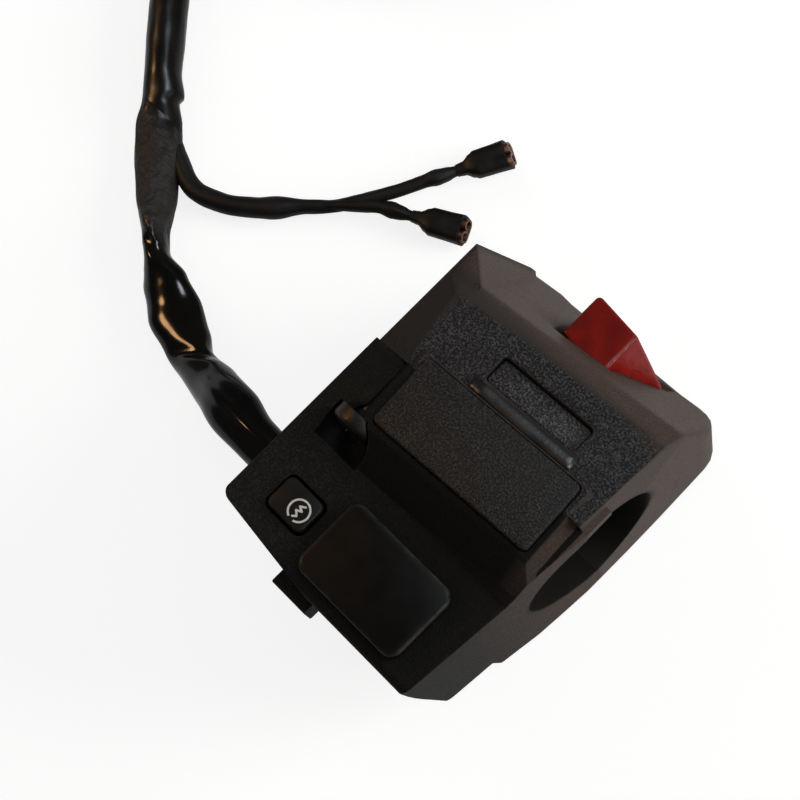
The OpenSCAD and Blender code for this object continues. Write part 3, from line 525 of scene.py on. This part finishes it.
# The plug's pale edge tone is partly a painted highlight along its rounded edges and partly rubbing.
plug_black = plastic(
    "plug_black", (0.0045, 0.0045, 0.0045), (0.0065, 0.0063, 0.0055), rough=(0.34, 0.42), grain=0.5 * MM,
    depth=0.003 * MM, rubbed_and_lit_tone=(0.26, 0.235, 0.2), radius=0.5 * MM, Specular_IOR_Level=0.05)
button_black = plastic(
    "button_black", (0.007, 0.007, 0.0068), (0.01, 0.0095, 0.009), rough=(0.4, 0.55), grain=0.3 * MM,
    depth=0.008 * MM, rubbed_and_lit_tone=(0.02, 0.019, 0.018), radius=0.25 * MM, Specular_IOR_Level=0.07)
ledge_black = plastic(
    "ledge_black", (0.009, 0.0088, 0.0086), (0.014, 0.0137, 0.0134), rough=(0.32, 0.44), grain=0.4 * MM,
    depth=0.014 * MM, rubbed_and_lit_tone=(0.075, 0.073, 0.071), radius=0.3 * MM, patch=5 * MM, Specular_IOR_Level=0.24)
rocker_red = plastic(
    "rocker_red", (0.29, 0.0118, 0.007), (0.2, 0.007, 0.0045), rough=(0.12, 0.24), grain=0.5 * MM,
    depth=0.015 * MM, rubbed_and_lit_tone=(0.32, 0.02, 0.013), radius=0.7 * MM, patch=2.5 * MM, Specular_IOR_Level=0.18)
mark_white = plastic(
    "mark_white", (0.82, 0.82, 0.8), (0.7, 0.7, 0.68), rough=(0.4, 0.6), grain=0.12 * MM,
    depth=0.004 * MM, patch=0.6 * MM)
# Near-black metal: painted shade of the dark pockets that the screw heads sit in.
screw_metal_in_shade = metal(
    "screw_metal_in_shade", (0.013, 0.0126, 0.0122), (0.008, 0.0077, 0.0074), rough=(0.4, 0.56), radius=0.15 * MM)
pin_steel = metal(
    "pin_steel", (0.55, 0.55, 0.54), (0.42, 0.41, 0.4), rough=(0.2, 0.35), stretch=(1, 1, 0.1))
spring_steel = metal("spring_steel", (0.5, 0.49, 0.47), (0.38, 0.36, 0.33), rough=(0.25, 0.4))
contact_brass = metal(
    "contact_brass", (0.72, 0.5, 0.2), (0.5, 0.33, 0.13), rough=(0.22, 0.4), radius=0.1 * MM)
bridge_copper = metal(
    "bridge_copper", (0.72, 0.36, 0.22), (0.5, 0.23, 0.13), rough=(0.22, 0.42), stretch=(1, 0.1, 1),
    radius=0.1 * MM)
contact_board = plastic(
    "contact_board", (0.17, 0.085, 0.035), (0.21, 0.11, 0.05), rough=(0.4, 0.55), grain=0.4 * MM,
    depth=0.006 * MM, rubbed_and_lit_tone=(0.28, 0.17, 0.09), radius=0.2 * MM)
retainer_white = plastic(
    "retainer_white", (0.62, 0.61, 0.57), (0.7, 0.69, 0.66), rough=(0.35, 0.5), grain=0.5 * MM,
    depth=0.004 * MM, rubbed_and_lit_tone=(0.75, 0.74, 0.72), radius=0.2 * MM, Subsurface_Weight=0.1)
black_rubber = plastic(
    "black_rubber", (0.009, 0.009, 0.009), (0.016, 0.015, 0.014), rough=(0.55, 0.75), grain=0.3 * MM,
    depth=0.012 * MM, rubbed_and_lit_tone=(0.035, 0.033, 0.03), radius=0.3 * MM)
red_wire = plastic(
    "red_wire", (0.42, 0.022, 0.016), (0.34, 0.016, 0.012), rough=(0.3, 0.45), grain=0.4 * MM,
    depth=0.004 * MM)
blue_wire = plastic(
    "blue_wire", (0.02, 0.07, 0.33), (0.015, 0.05, 0.26), rough=(0.3, 0.45), grain=0.4 * MM,
    depth=0.004 * MM)
loom_black = loom_plastic("loom_black")
lead_black = plastic(
    "lead_black", (0.006, 0.0058, 0.0056), (0.011, 0.01, 0.0095), rough=(0.45, 0.6), grain=0.5 * MM,
    depth=0.02 * MM, Specular_IOR_Level=0.08)
tie_black = plastic(
    "tie_black", (0.012, 0.012, 0.012), (0.018, 0.018, 0.018), rough=(0.35, 0.5), grain=0.4 * MM,
    depth=0.006 * MM, rubbed_and_lit_tone=(0.04, 0.04, 0.04), radius=0.2 * MM)
connector_white = plastic(
    "connector_white", (0.66, 0.65, 0.6), (0.72, 0.71, 0.67), rough=(0.35, 0.5), grain=0.6 * MM,
    depth=0.005 * MM, rubbed_and_lit_tone=(0.78, 0.77, 0.74), radius=0.25 * MM, Subsurface_Weight=0.1)
terminal_brass = metal("terminal_brass", (0.12, 0.062, 0.04), (0.045, 0.02, 0.012), rough=(0.28, 0.5))
sleeve_black = plastic(
    "sleeve_black", (0.006, 0.0055, 0.0052), (0.011, 0.0098, 0.009), rough=(0.42, 0.54), grain=0.5 * MM,
    depth=0.012 * MM, Specular_IOR_Level=0.06)


# Route of the loom: out of its grommet, down to the bench, up by its tie's thickness, and round its coil to a
# tucked-in end
LOOM_D = 7 * MM
TIE_T = 1 * MM
TIE_GAP = 0.1 * MM
LOOM_Z = BENCH + LOOM_D / 2 + TIE_GAP
COIL_Z = LOOM_Z + TIE_T
LOOM_ROUTE_MM = [
    (-21, -20.8, -6.5), (-28, -20.8, -6.5), (-35, -20.5, -9), (-41, -19.8, -13.4), (-47, -18.7, -16.6),
]
LOOM_FLAT_MM = [(-53.5, -16), (-61.5, -12), (-68.5, -6), (-76.5, 1.8), (-83.5, 9.2), (-91.5, 18)]
LOOM_RISE_MM = [(-99.5, 27)]
LOOM_LIFT_MM = [(-107, 35.4), (-114, 43.3)]
COIL_R = 40 * MM
COIL_STEP = 7.8 * MM
COIL_LOOPS = 1.3
COIL_RINGS = 24
TUCK_R = 16 * MM
TUCK_ANGLE = 125
TUCK_RINGS = 10


def loom_points():
    route = [Vector(p) * MM for p in LOOM_ROUTE_MM]
    route += at_height(LOOM_FLAT_MM, LOOM_Z)
    route += at_height(LOOM_RISE_MM, LOOM_Z + TIE_T / 2)
    return route + at_height(LOOM_LIFT_MM, COIL_Z)


def turned(way, angle):
    c = math.cos(angle)
    n = math.sin(angle)
    return Vector((way.x * c - way.y * n, way.x * n + way.y * c, 0))


def coil_points(start, lead):
    first = start + LOOM_D * lead
    middle = first + COIL_R * Vector((lead.y, -lead.x, 0))
    spoke = (first - middle).normalized()
    coil = []
    for i in range(int(COIL_LOOPS * COIL_RINGS) + 1):
        loops = i / COIL_RINGS
        coil.append(middle + (COIL_R - COIL_STEP * loops) * turned(spoke, -2 * math.pi * loops))
    way = (coil[-1] - coil[-2]).normalized()
    hub = coil[-1] + TUCK_R * Vector((way.y, -way.x, 0))
    spoke = coil[-1] - hub
    for i in range(1, TUCK_RINGS + 1):
        coil.append(hub + turned(spoke, -math.radians(TUCK_ANGLE * i / TUCK_RINGS)))
    way = (coil[-1] - coil[-2]).normalized()
    return coil + [coil[-1] + LOOM_D * way]


# The flattened and twisted loom sleeve, by distance from its grommet: how far it reaches to its left and to
# its right, its flatness, its turn in degrees and the depth of its creases
LOOM_KEYS_MM = [
    (0, 3.3, 3.3, 0.9, 0, 0.03), (6, 3.2, 3.6, 0.8, 0, 0.03), (12, 3.4, 4.55, 0.74, 0, 0.03),
    (18.5, 2.9, 4.3, 0.76, 10, 0.02), (26, 2.8, 3.25, 0.8, 20, 0.02), (31, 3.3, 4.15, 0.76, 10, 0.02),
    (36, 4.15, 4.35, 0.72, 0, 0.02), (41, 3.5, 3.75, 0.72, 40, 0.03), (46.5, 2, 1.8, 0.66, 90, 0.08),
    (49, 1.95, 1.7, 0.66, 110, 0.12), (56, 3.2, 2.9, 0.66, 155, 0.22), (64, 4, 3.55, 0.66, 180, 0.26),
    (67, 3.9, 3.4, 0.68, 180, 0.2), (70.8, 3, 2.85, 0.82, 180, 0.06), (71.5, 2.95, 3.6, 0.84, 180, 0.06),
    (75.5, 2.85, 2.95, 0.95, 180, 0.06), (82, 3, 3.1, 0.95, 180, 0.1), (140, 3.3, 3.3, 0.97, 180, 0.1),
]
# Folds across the sleeve where it twists: place, slant, half width and depth
LOOM_FOLDS_MM = [(27.5, 3.6, 1.5, 0.9), (46.5, 3, 1.6, 0.5)]
# Ridge along the sleeve's first twist: its two ends, its share of the width at both, its half width as a
# share, and its height
RIDGE_MM = (-12, 24)
RIDGE_SHARES = (0.78, 0.32)
RIDGE_HALF = 0.13
RIDGE_HEIGHT = 0.9
LOOM_HALF_HEIGHT = 3.3 * MM
LOOM_SIDES = 64
CREASE_RUN = 7 * MM
# Where the sleeve lies down on the bench and lifts off it again, and how soon
LOOM_ON_BENCH = 34 * MM
LOOM_LIFTS = 88 * MM
LOOM_SETTLES = 14 * MM
SEEN_STEP = 0.7 * MM
COIL_SAMPLING = 2 * MM


def loom_section(s):
    """Points round the sleeve at one place, to its side and up from its middle."""
    left, right, flat, turn, crease = between(LOOM_KEYS_MM, s / MM)
    c = math.cos(math.radians(turn))
    n = math.sin(math.radians(turn))
    points = []
    for k in range(LOOM_SIDES):
        a = 2 * math.pi * k / LOOM_SIDES
        u = math.cos(a)
        v = flat * math.sin(a)
        grown = 1 + crease * MM / LOOM_HALF_HEIGHT * folds(a, s / CREASE_RUN)
        points.append(((u * c - v * n) * grown, (u * n + v * c) * grown))
    low = min(u for u, v in points)
    high = max(u for u, v in points)
    along = held((s / MM - RIDGE_MM[0]) / (RIDGE_MM[1] - RIDGE_MM[0]))
    ridge = RIDGE_SHARES[0] + along * (RIDGE_SHARES[1] - RIDGE_SHARES[0])
    section = []
    for u, v in points:
        share = (u - low) / (high - low)
        dent = 0
        for place, slant, half, depth in LOOM_FOLDS_MM:
            off = (s / MM - place + slant * (2 * share - 1)) / half
            dent += depth * math.exp(-off * off) * max(0, v)
        off = (share - ridge) / RIDGE_HALF
        dent -= RIDGE_HEIGHT * math.sin(math.pi * along) * math.exp(-off * off) * max(0, v)
        section.append(((share * (left + right) - left) * MM, v * LOOM_HALF_HEIGHT - dent * MM))
    return section


def make_loom():
    route = loom_points()
    lead = (route[-1] - route[-2]).normalized()
    coil = coil_points(route[-1], lead)
    seen = curve_through(route, SEEN_STEP)
    path = seen[:-1] + curve_through([route[-1]] + coil, COIL_SAMPLING)
    rings = []
    for i, s in enumerate(lengths_along(path)):
        way, side, up = frame_at(path, i)
        section = loom_section(s)
        sunk = BENCH + TIE_GAP - min(v for u, v in section) - path[i].z
        lies = held((s - LOOM_ON_BENCH) / LOOM_SETTLES)
        stays = held((LOOM_LIFTS + LOOM_SETTLES - s) / LOOM_SETTLES)
        middle = path[i] + Vector((0, 0, sunk * min(lies, stays)))
        rings.append([above_bench(middle + side * u + up * v) for u, v in section])
    mesh = to_data(skin(rings), "loom_cord", CORD_SHARP)
    loom = add_object("loom_cord", mesh, "housing", loom_black)
    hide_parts("loom", "loom_coil")


# Branch to the brake switch: a sleeve that leaves the loom's side and runs on as one of two leads
BRANCH_Z = BENCH + 1.85 * MM
LEAD_Z = BENCH + 2.15 * MM
BRANCH_MM = [
    (-79.3, 5), (-76.5, 3.5), (-73.8, 2.2), (-71.5, 1.1), (-69, 0.1), (-66.6, -0.3), (-64.1, 0.2),
    (-60.5, 1.8), (-56.5, 4.8), (-52.5, 8.8), (-48.5, 12.7),
]
LEAD_A_MM = [(-45.1, 17.5), (-42.6, 21.8), (-40.6, 25.7), (-38.7, 29.2)]
LEAD_B_MM = [(-49.5, 11.7), (-45.6, 15.2), (-43.2, 17.1), (-40.4, 18.5), (-38.4, 19.5)]
BRANCH_STEP = 0.6 * MM
# Radius by distance along the branch and along the short lead, and back from the end of each lead
BRANCH_KEYS_MM = [
    (0, 1.2), (6, 1.5), (10, 1.55), (17, 1.55), (24, 1.6), (27, 1.75), (32, 1.15), (37, 0.95), (41, 1.05),
]
SHORT_KEYS_MM = [(0, 0.8)]
LEAD_END_KEYS_MM = [(9, 1.0), (5.5, 1.0), (3.6, 1.3), (2.2, 1.15), (0.6, 0.8), (0, 0.8)]
LEAD_SIDES = 20
LEAD_CREASE = 0.12 * MM
LEAD_CREASE_RUN = 4 * MM


def lead_keys(length, fixed_mm):
    """The given keys, and those of the crimp's lump and neck at the end of a lead of this length."""
    ends = [(length - s * MM, r * MM) for s, r in LEAD_END_KEYS_MM]
    return [(s * MM, r * MM) for s, r in fixed_mm if s * MM < ends[0][0]] + ends


def make_lead(path, keys):
    """A closed tube. Its keys give place and radius, and its skin goes in and out in folds along it."""
    rings = []
    for i, s in enumerate(lengths_along(path)):
        way, side, up = frame_at(path, i)
        radius = between(keys, s)[0]
        ring = []
        for k, (u, v) in enumerate(rounded_section(radius, radius, 1, LEAD_SIDES)):
            across = side * u + up * v
            fold = LEAD_CREASE * folds(2 * math.pi * k / LEAD_SIDES, s / LEAD_CREASE_RUN)
            ring.append(above_bench(path[i] + across + across.normalized() * fold))
        rings.append(ring)
    return skin(rings)


def past_end(path, x, u, v):
    """A point past the end of a lead: x further along the bench, u across and v up."""
    way, side, up = frame_at(path, len(path) - 1)
    further = Vector((way.x, way.y, 0)).normalized()
    return path[-1] + further * x + side * u + Vector((0, 0, v))


# Terminal sleeve: half width and half height by distance past the lead's end
SLEEVE_KEYS_MM = [
    (-0.4, 0.86, 0.86), (0.8, 1.0, 0.95), (2, 1.75, 1.35), (2.7, 2.1, 1.5), (5, 2.15, 1.5), (8.2, 2.25, 1.6),
]
SLEEVE_KEYS = [(x * MM, w * MM, h * MM) for x, w, h in SLEEVE_KEYS_MM]
SLEEVE_START = SLEEVE_KEYS[0][0]
SLEEVE_END = SLEEVE_KEYS[-1][0]
SLEEVE_LENGTH = SLEEVE_END - SLEEVE_START
SLEEVE_WALL = 0.42 * MM
SLEEVE_DEPTH = 3 * MM
SLEEVE_ROUNDNESS = 0.6
SLEEVE_SIDES = 36
SLEEVE_STEPS = 20
# Its mouth: the share of the length where it begins, its pinch between the curls and its slant
MOUTH_FROM = 0.55
MOUTH_PINCH = 0.3
PINCH_W = 0.6 * MM
MOUTH_SLANT = 0.32


def sleeve_ring(path, x, wall):
    half_w, half_h = between(SLEEVE_KEYS, x)
    near_mouth = max(0, (x - SLEEVE_START) / SLEEVE_LENGTH - MOUTH_FROM) / (1 - MOUTH_FROM)
    ring = []
    for u, v in rounded_section(half_w - wall, half_h - wall, SLEEVE_ROUNDNESS, SLEEVE_SIDES):
        pinch = 1 - MOUTH_PINCH * near_mouth * math.exp(-(u / PINCH_W) ** 2)
        slant = MOUTH_SLANT * near_mouth * (v + half_h)
        ring.append(past_end(path, x - slant, u, v * pinch))
    return ring


def make_sleeve(path):
    """A soft open sleeve on the end of a lead: its outside, its rim and its inside."""
    rings = []
    for i in range(SLEEVE_STEPS + 1):
        rings.append(sleeve_ring(path, SLEEVE_START + SLEEVE_LENGTH * i / SLEEVE_STEPS, 0))
    rings.append(sleeve_ring(path, SLEEVE_END, SLEEVE_WALL))
    rings.append(sleeve_ring(path, SLEEVE_END - SLEEVE_DEPTH, SLEEVE_WALL))
    return skin(rings)


# Rolled receptacle with its two curls, and its crimped barrel: radius by distance past the lead's end
SPADE_T = 0.36 * MM
SPADE_FROM = 2.4 * MM
SPADE_TO = 8.5 * MM
SPADE_HALF = 1.72 * MM
CURL_R = 0.78 * MM
CURL_ANGLE = 290
CURL_STEPS = 12
BARREL_KEYS_MM = [(1.6, 0.6), (2.4, 0.7), (2.7, 0.6)]
BARREL_ROUNDNESS = 0.9
BARREL_SIDES = 16


def spade_line():
    """Middle line of a receptacle's section: a curl, the flat floor and the other curl."""
    hub = SPADE_HALF - CURL_R
    right = []
    for i in range(CURL_STEPS + 1):
        a = math.radians(CURL_ANGLE * i / CURL_STEPS)
        right.append((hub + CURL_R * math.sin(a), -CURL_R * math.cos(a)))
    return [(-u, v) for u, v in reversed(right)] + right


def spade_section():
    """The outline of the rolled sheet, half its thickness to either side of its middle line."""
    line = spade_line()
    outer = []
    inner = []
    for i, (u, v) in enumerate(line):
        before = line[max(i - 1, 0)]
        after = line[min(i + 1, len(line) - 1)]
        run = math.hypot(after[0] - before[0], after[1] - before[1])
        du = (after[1] - before[1]) / run * SPADE_T / 2
        dv = -(after[0] - before[0]) / run * SPADE_T / 2
        outer.append((u + du, v + dv))
        inner.append((u - du, v - dv))
    return outer + inner[::-1]


def make_spade(path):
    """A rolled brass receptacle past the end of a lead, cut on the slant of its sleeve, and its barrel."""
    rings = []
    for x, slant in ((SPADE_FROM, 0), (SPADE_TO, MOUTH_SLANT)):
        rings.append([past_end(path, x - slant * (v + CURL_R), u, v) for u, v in spade_section()])
    barrel = []
    for x, r in BARREL_KEYS_MM:
        section = rounded_section(r * MM, r * MM, BARREL_ROUNDNESS, BARREL_SIDES)
        barrel.append([past_end(path, x * MM, u, v) for u, v in section])
    return join(skin(rings), skin(barrel))


def make_branch():
    path_a = curve_through(at_height(BRANCH_MM, BRANCH_Z) + at_height(LEAD_A_MM, LEAD_Z), BRANCH_STEP)
    path_b = curve_through(at_height(LEAD_B_MM, LEAD_Z), BRANCH_STEP)
    long_a = lengths_along(path_a)[-1]
    long_b = lengths_along(path_b)[-1]
    mesh = to_data(make_lead(path_a, lead_keys(long_a, BRANCH_KEYS_MM)), "branch_cord", CORD_SHARP)
    branch = add_object("branch_cord", mesh, "housing", lead_black)
    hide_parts("branch_sleeve", "brake_lead_a")
    mesh = to_data(make_lead(path_b, lead_keys(long_b, SHORT_KEYS_MM)), "short_lead", CORD_SHARP)
    short_lead = add_object("short_lead", mesh, "housing", lead_black)
    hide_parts("brake_lead_b")
    mesh = to_data(join(make_sleeve(path_a), make_sleeve(path_b)), "soft_sleeves", MOULDED_SHARP)
    sleeves = add_object("soft_sleeves", mesh, "housing", sleeve_black)
    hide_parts("terminal_sleeves")
    mesh = to_data(join(make_spade(path_a), make_spade(path_b)), "rolled_spades", ROLLED_SHARP)
    spades = add_object("rolled_spades", mesh, "housing", terminal_brass)
    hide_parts("spade_terminals")


# Clamp screws with a domed head, a cross recess and a thread
SCREW_AT_MM = [(-12.4, 13.45), (1.5, -16.15)]
SCREW_R = 1.8 * MM
SCREW_SEAT = -9.2 * MM
SCREW_TIP = 6.8 * MM
TIP_SHARE = 0.6
TIP_TAPER = 4 * MM
SHANK_SIDES = 16
STEPS_PER_TURN = 5
THREAD_PITCH = 1.3 * MM
THREAD_DEPTH = 0.3 * MM
HEAD_R = 3.5 * MM
HEAD_H = 2.6 * MM
HEAD_DOME = 1.0 * MM
HEAD_HUB = 0.08
HEAD_SIDES = 48
HEAD_STEPS = 14
RECESS_ARM = 1.9 * MM
RECESS_W = 0.45 * MM
RECESS_DEEP = 1.2 * MM


def screw_head(place):
    """A pan head that points down, with a cross sunk in its dome."""
    rings = []
    for i in range(HEAD_STEPS + 1):
        r = HEAD_R * (HEAD_HUB + (1 - HEAD_HUB) * i / HEAD_STEPS)
        dome = HEAD_DOME * (1 - math.sqrt(max(0, 1 - (r / HEAD_R) ** 2)))
        ring = []
        for x, z in rounded_section(r, r, 1, HEAD_SIDES):
            in_cross = max(abs(x), abs(z)) < RECESS_ARM and min(abs(x), abs(z)) < RECESS_W
            y = SCREW_SEAT - HEAD_H + dome + (RECESS_DEEP if in_cross else 0)
            ring.append(place + Vector((x, y, z)))
        rings.append(ring)
    rim = rounded_section(HEAD_R, HEAD_R, 1, HEAD_SIDES)
    rings.append([place + Vector((x, SCREW_SEAT, z)) for x, z in rim])
    return skin(rings)


def screw_shank(place):
    """The threaded shank, its flank a wave that climbs with the turn, and its blunt tip."""
    length = SCREW_TIP - SCREW_SEAT
    count = round(length / THREAD_PITCH * STEPS_PER_TURN)
    rings = []
    for i in range(count + 1):
        y = SCREW_SEAT + length * i / count
        taper = min(1, TIP_SHARE + (SCREW_TIP - y) / TIP_TAPER)
        ring = []
        for k in range(SHANK_SIDES):
            climb = (y - SCREW_SEAT) / THREAD_PITCH - k / SHANK_SIDES
            groove = THREAD_DEPTH * (1 - abs(2 * (climb % 1) - 1)) if 0 < i < count else 0
            a = 2 * math.pi * k / SHANK_SIDES
            r = (SCREW_R - groove) * taper
            ring.append(place + Vector((r * math.cos(a), y, r * math.sin(a))))
        rings.append(ring)
    return skin(rings)


def make_screws():
    solids = []
    for x, z in SCREW_AT_MM:
        place = Vector((x * MM, 0, z * MM))
        solids += [screw_head(place), screw_shank(place)]
    mesh = to_data(join(*solids), "domed_screws", TURNED_SHARP)
    screws = add_object("domed_screws", mesh, "housing", screw_metal_in_shade)
    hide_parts("clamp_screws")


# Rounded ledge between the cover and the window, in the window's own tilted place: size by distance along it
WINDOW_AT = Vector((3.4, 8, 15.557)) * MM
WINDOW_TILT = math.radians(-8)
WINDOW_LEAN = math.radians(3.2)
LEDGE_MIDDLE = -3.42 * MM
LEDGE_HALF_W = 1.2 * MM
LEDGE_LEAST_W = 0.4
LEDGE_H = 0.72 * MM
LEDGE_KEYS_MM = [(-8.6, 0.05), (-8.2, 0.5), (-6.5, 0.85), (2, 1), (8, 1), (8.5, 0.9), (8.7, 0.6)]
LEDGE_ROUNDNESS = 0.8
LEDGE_SIDES = 24
LEDGE_STEPS = 48


def make_ledge():
    turn = Matrix.Rotation(WINDOW_LEAN, 4, "Z") @ Matrix.Rotation(WINDOW_TILT, 4, "X")
    place = Matrix.Translation(WINDOW_AT) @ turn
    start = LEDGE_KEYS_MM[0][0]
    end = LEDGE_KEYS_MM[-1][0]
    rings = []
    for i in range(LEDGE_STEPS + 1):
        x = start + (end - start) * i / LEDGE_STEPS
        size = between(LEDGE_KEYS_MM, x)[0]
        half_w = LEDGE_HALF_W * (LEDGE_LEAST_W + (1 - LEDGE_LEAST_W) * size)
        section = rounded_section(half_w, LEDGE_H * size, LEDGE_ROUNDNESS, LEDGE_SIDES)
        rings.append([place @ Vector((x * MM, LEDGE_MIDDLE + u, v)) for u, v in section])
    mesh = to_data(skin(rings), "window_ledge", MOULDED_SHARP)
    add_object("window_ledge", mesh, "housing", ledge_black)


# Rounded copies of the plain moulded pieces: edge radius in millimetres, body, material and slot
ROUNDED = {
    "middle_cover": (0.3, "housing", cover_black, "grained_cover"),
    "blanking_plug": (0.45, "housing", plug_black, "smooth_plug"),
    "start_button": (0.3, "start_button", button_black, "black_button"),
    "window_insert": (0.25, "housing", insert_black, "grained_cover"),
}
# Points this near become one, faces this level become one, and edges that bend more than this are rounded
SAME_POINT = 0.001 * MM
FLAT_ANGLE = math.radians(1)
BENT_ANGLE = math.radians(28)
ROUND_STEPS = 3
ROUND_PROFILE = 0.5


def rounded_copy(name, width):
    """A copy of a node's mesh with its sharp edges rounded."""
    mesh = bmesh.new()
    mesh.from_mesh(nodes[name].data)
    bmesh.ops.remove_doubles(mesh, verts=mesh.verts, dist=SAME_POINT)
    bmesh.ops.dissolve_limit(mesh, angle_limit=FLAT_ANGLE, verts=mesh.verts, edges=mesh.edges)
    edges = [e for e in mesh.edges if len(e.link_faces) == 2 and e.calc_face_angle(0) > BENT_ANGLE]
    bmesh.ops.bevel(mesh, geom=edges, offset=width, segments=ROUND_STEPS, profile=ROUND_PROFILE,
                    affect="EDGES", clamp_overlap=False, offset_type="OFFSET")
    bmesh.ops.recalc_face_normals(mesh, faces=mesh.faces)
    return to_data(mesh, name + "_rounded", TURNED_SHARP)


def make_rounded():
    for name, (width, body, material, slot) in ROUNDED.items():
        piece = add_object(name + "_rounded", rounded_copy(name, width * MM), body, material)
        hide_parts(name)


# The start mark, smaller than its node and nearer to the button's outer edge
MARK_SCALE = 0.86
MARK_SHIFT = 0.43 * MM


def make_start_mark():
    mesh = node_copy("start_symbol", "start_mark")
    low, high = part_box("start_symbol")
    middle = (low + high) / 2
    for vertex in mesh.vertices:
        vertex.co.x = middle.x + MARK_SCALE * (vertex.co.x - middle.x) + MARK_SHIFT
        vertex.co.y = middle.y + MARK_SCALE * (vertex.co.y - middle.y)
    mark = add_object("start_mark", mesh, "start_button", mark_white)
    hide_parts("start_symbol")


def make_button_spring():
    mesh = node_copy("start_spring", "button_spring")
    spring = add_object("button_spring", mesh, "housing", spring_steel)
    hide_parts("start_spring")
    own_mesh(spring)


# The finish of every node
FINISHES = {
    "upper_housing": upper_black, "lower_housing": lower_black, "middle_cover": cover_black,
    "window_insert": insert_black, "blanking_plug": plug_black, "clamp_screws": screw_metal_in_shade,
    "stop_rocker": rocker_red, "rocker_pivot_pins": pin_steel, "rocker_plunger": retainer_white,
    "rocker_spring": spring_steel, "stop_contact_bridge": bridge_copper, "stop_contact_base": contact_board,
    "stop_contacts": contact_brass, "start_button": button_black, "start_symbol": mark_white,
    "start_spring": spring_steel, "start_seal": black_rubber, "start_retainer": retainer_white,
    "start_contact_bridge": bridge_copper, "start_contact_base": contact_board,
    "start_contacts": contact_brass, "base_screws": pin_steel, "loom_grommet": black_rubber,
    "stop_wires": red_wire, "start_wires": blue_wire, "loom": loom_black, "loom_coil": loom_black,
    "coil_tie": tie_black, "loom_connector": connector_white, "connector_pins": contact_brass,
    "branch_sleeve": lead_black, "brake_lead_a": lead_black, "brake_lead_b": lead_black,
    "spade_terminals": terminal_brass, "terminal_sleeves": sleeve_black,
}


def finish_nodes():
    for name, node in nodes.items():
        node.data.materials.clear()
        node.data.materials.append(FINISHES[name])


# Stage: a floor that lights the object as plain white and shows its soft shadow under a glow, a soft world,
# four lamps that light and three that glint
FLOOR_SIZE = 6
FLOOR_DROP = 0.05 * MM
FLOOR_WHITE = (0.92, 0.92, 0.92, 1)
FLOOR_SHADED = (0.4, 0.4, 0.4, 1)
FLOOR_GLOW = 0.82
WORLD_WHITE = (1, 1, 1, 1)
WORLD_LIGHT = 0.12
LAMP_AIM = Vector((-20, 0, 0)) * MM
# Lamps: name, place, width, power, colour and whether it glints
LAMPS = [
    ("key_lamp", (0.46, 0.58, 0.27), 0.5, 4.5, (1, 0.96, 0.92), False),
    ("left_lamp", (-0.68, 0.1, 0.3), 0.5, 0.9, (1, 0.95, 0.9), False),
    ("low_lamp", (0.1, -0.66, 0.34), 0.5, 0.4, (1, 0.98, 0.96), False),
    ("top_lamp", (0.1, 0.3, 0.7), 0.5, 0.35, (0.95, 0.97, 1), False),
    ("warm_glint", (-0.51, -0.24, 0.45), 0.18, 5, (1, 0.56, 0.25), True),
    ("cool_glint", (0.1, 0.33, 0.66), 0.22, 5.5, (0.84, 0.92, 1), True),
    ("right_glint", (0.58, 0.05, 0.51), 0.16, 6, (1, 0.97, 0.94), True),
]


def seen_directly(tree):
    """One for camera, glossy and transmission rays, none for the rest."""
    rays = put(tree, "LightPath").outputs
    either = both(tree, rays["Is Camera Ray"], rays["Is Glossy Ray"], "MAXIMUM")
    return both(tree, either, rays["Is Transmission Ray"], "MAXIMUM")


def make_floor():
    mesh = bpy.data.meshes.new("floor")
    half = FLOOR_SIZE / 2
    z = BENCH - FLOOR_DROP
    corners = [(-half, -half, z), (half, -half, z), (half, half, z), (-half, half, z)]
    mesh.from_pydata(corners, [], [(0, 1, 2, 3)])
    floor = bpy.data.objects.new("floor", mesh)
    scene.collection.objects.link(floor)
    material = bpy.data.materials.new("floor_white")
    material.use_nodes = True
    tree = material.node_tree
    tree.nodes.clear()
    plain = put(tree, "BsdfDiffuse", {"Color": FLOOR_WHITE}).outputs[0]
    shaded = put(tree, "BsdfDiffuse", {"Color": FLOOR_SHADED}).outputs[0]
    glow = put(tree, "Emission", {"Strength": FLOOR_GLOW}).outputs[0]
    seen = put(tree, "AddShader", {0: shaded, 1: glow}).outputs[0]
    shown = put(tree, "MixShader", {0: seen_directly(tree), 1: plain, 2: seen}).outputs[0]
    put(tree, "OutputMaterial", {"Surface": shown})
    mesh.materials.append(material)


def make_world():
    world = bpy.data.worlds.new("studio")
    world.use_nodes = True
    scene.world = world
    tree = world.node_tree
    back = tree.nodes["Background"]
    back.inputs["Color"].default_value = WORLD_WHITE
    seen = put(tree, "LightPath").outputs["Is Camera Ray"]
    tree.links.new(spread(tree, seen, 0, 1, WORLD_LIGHT, 1), back.inputs["Strength"])


def make_lamp(name, place, size, watts, colour, glints):
    """A round lamp. One that glints shows in glossy surfaces alone, and any other lights matt ones alone, as
    a wide soft box far away would."""
    data = bpy.data.lights.new(name, "AREA")
    data.shape = "DISK"
    data.size = size
    data.energy = watts
    data.color = colour
    lamp = bpy.data.objects.new(name, data)
    lamp.location = place
    lamp.rotation_mode = "QUATERNION"
    lamp.rotation_quaternion = (LAMP_AIM - lamp.location).to_track_quat("-Z", "Y")
    lamp.visible_glossy = glints
    lamp.visible_diffuse = not glints
    scene.collection.objects.link(lamp)


def make_lamps():
    for lamp in LAMPS:
        make_lamp(*lamp)


make_camera()
make_loom()
make_branch()
make_floor()
make_world()
make_lamps()
make_screws()
make_ledge()
make_rounded()
make_start_mark()
make_button_spring()
finish_nodes()

scene.view_settings.view_transform = "Standard"
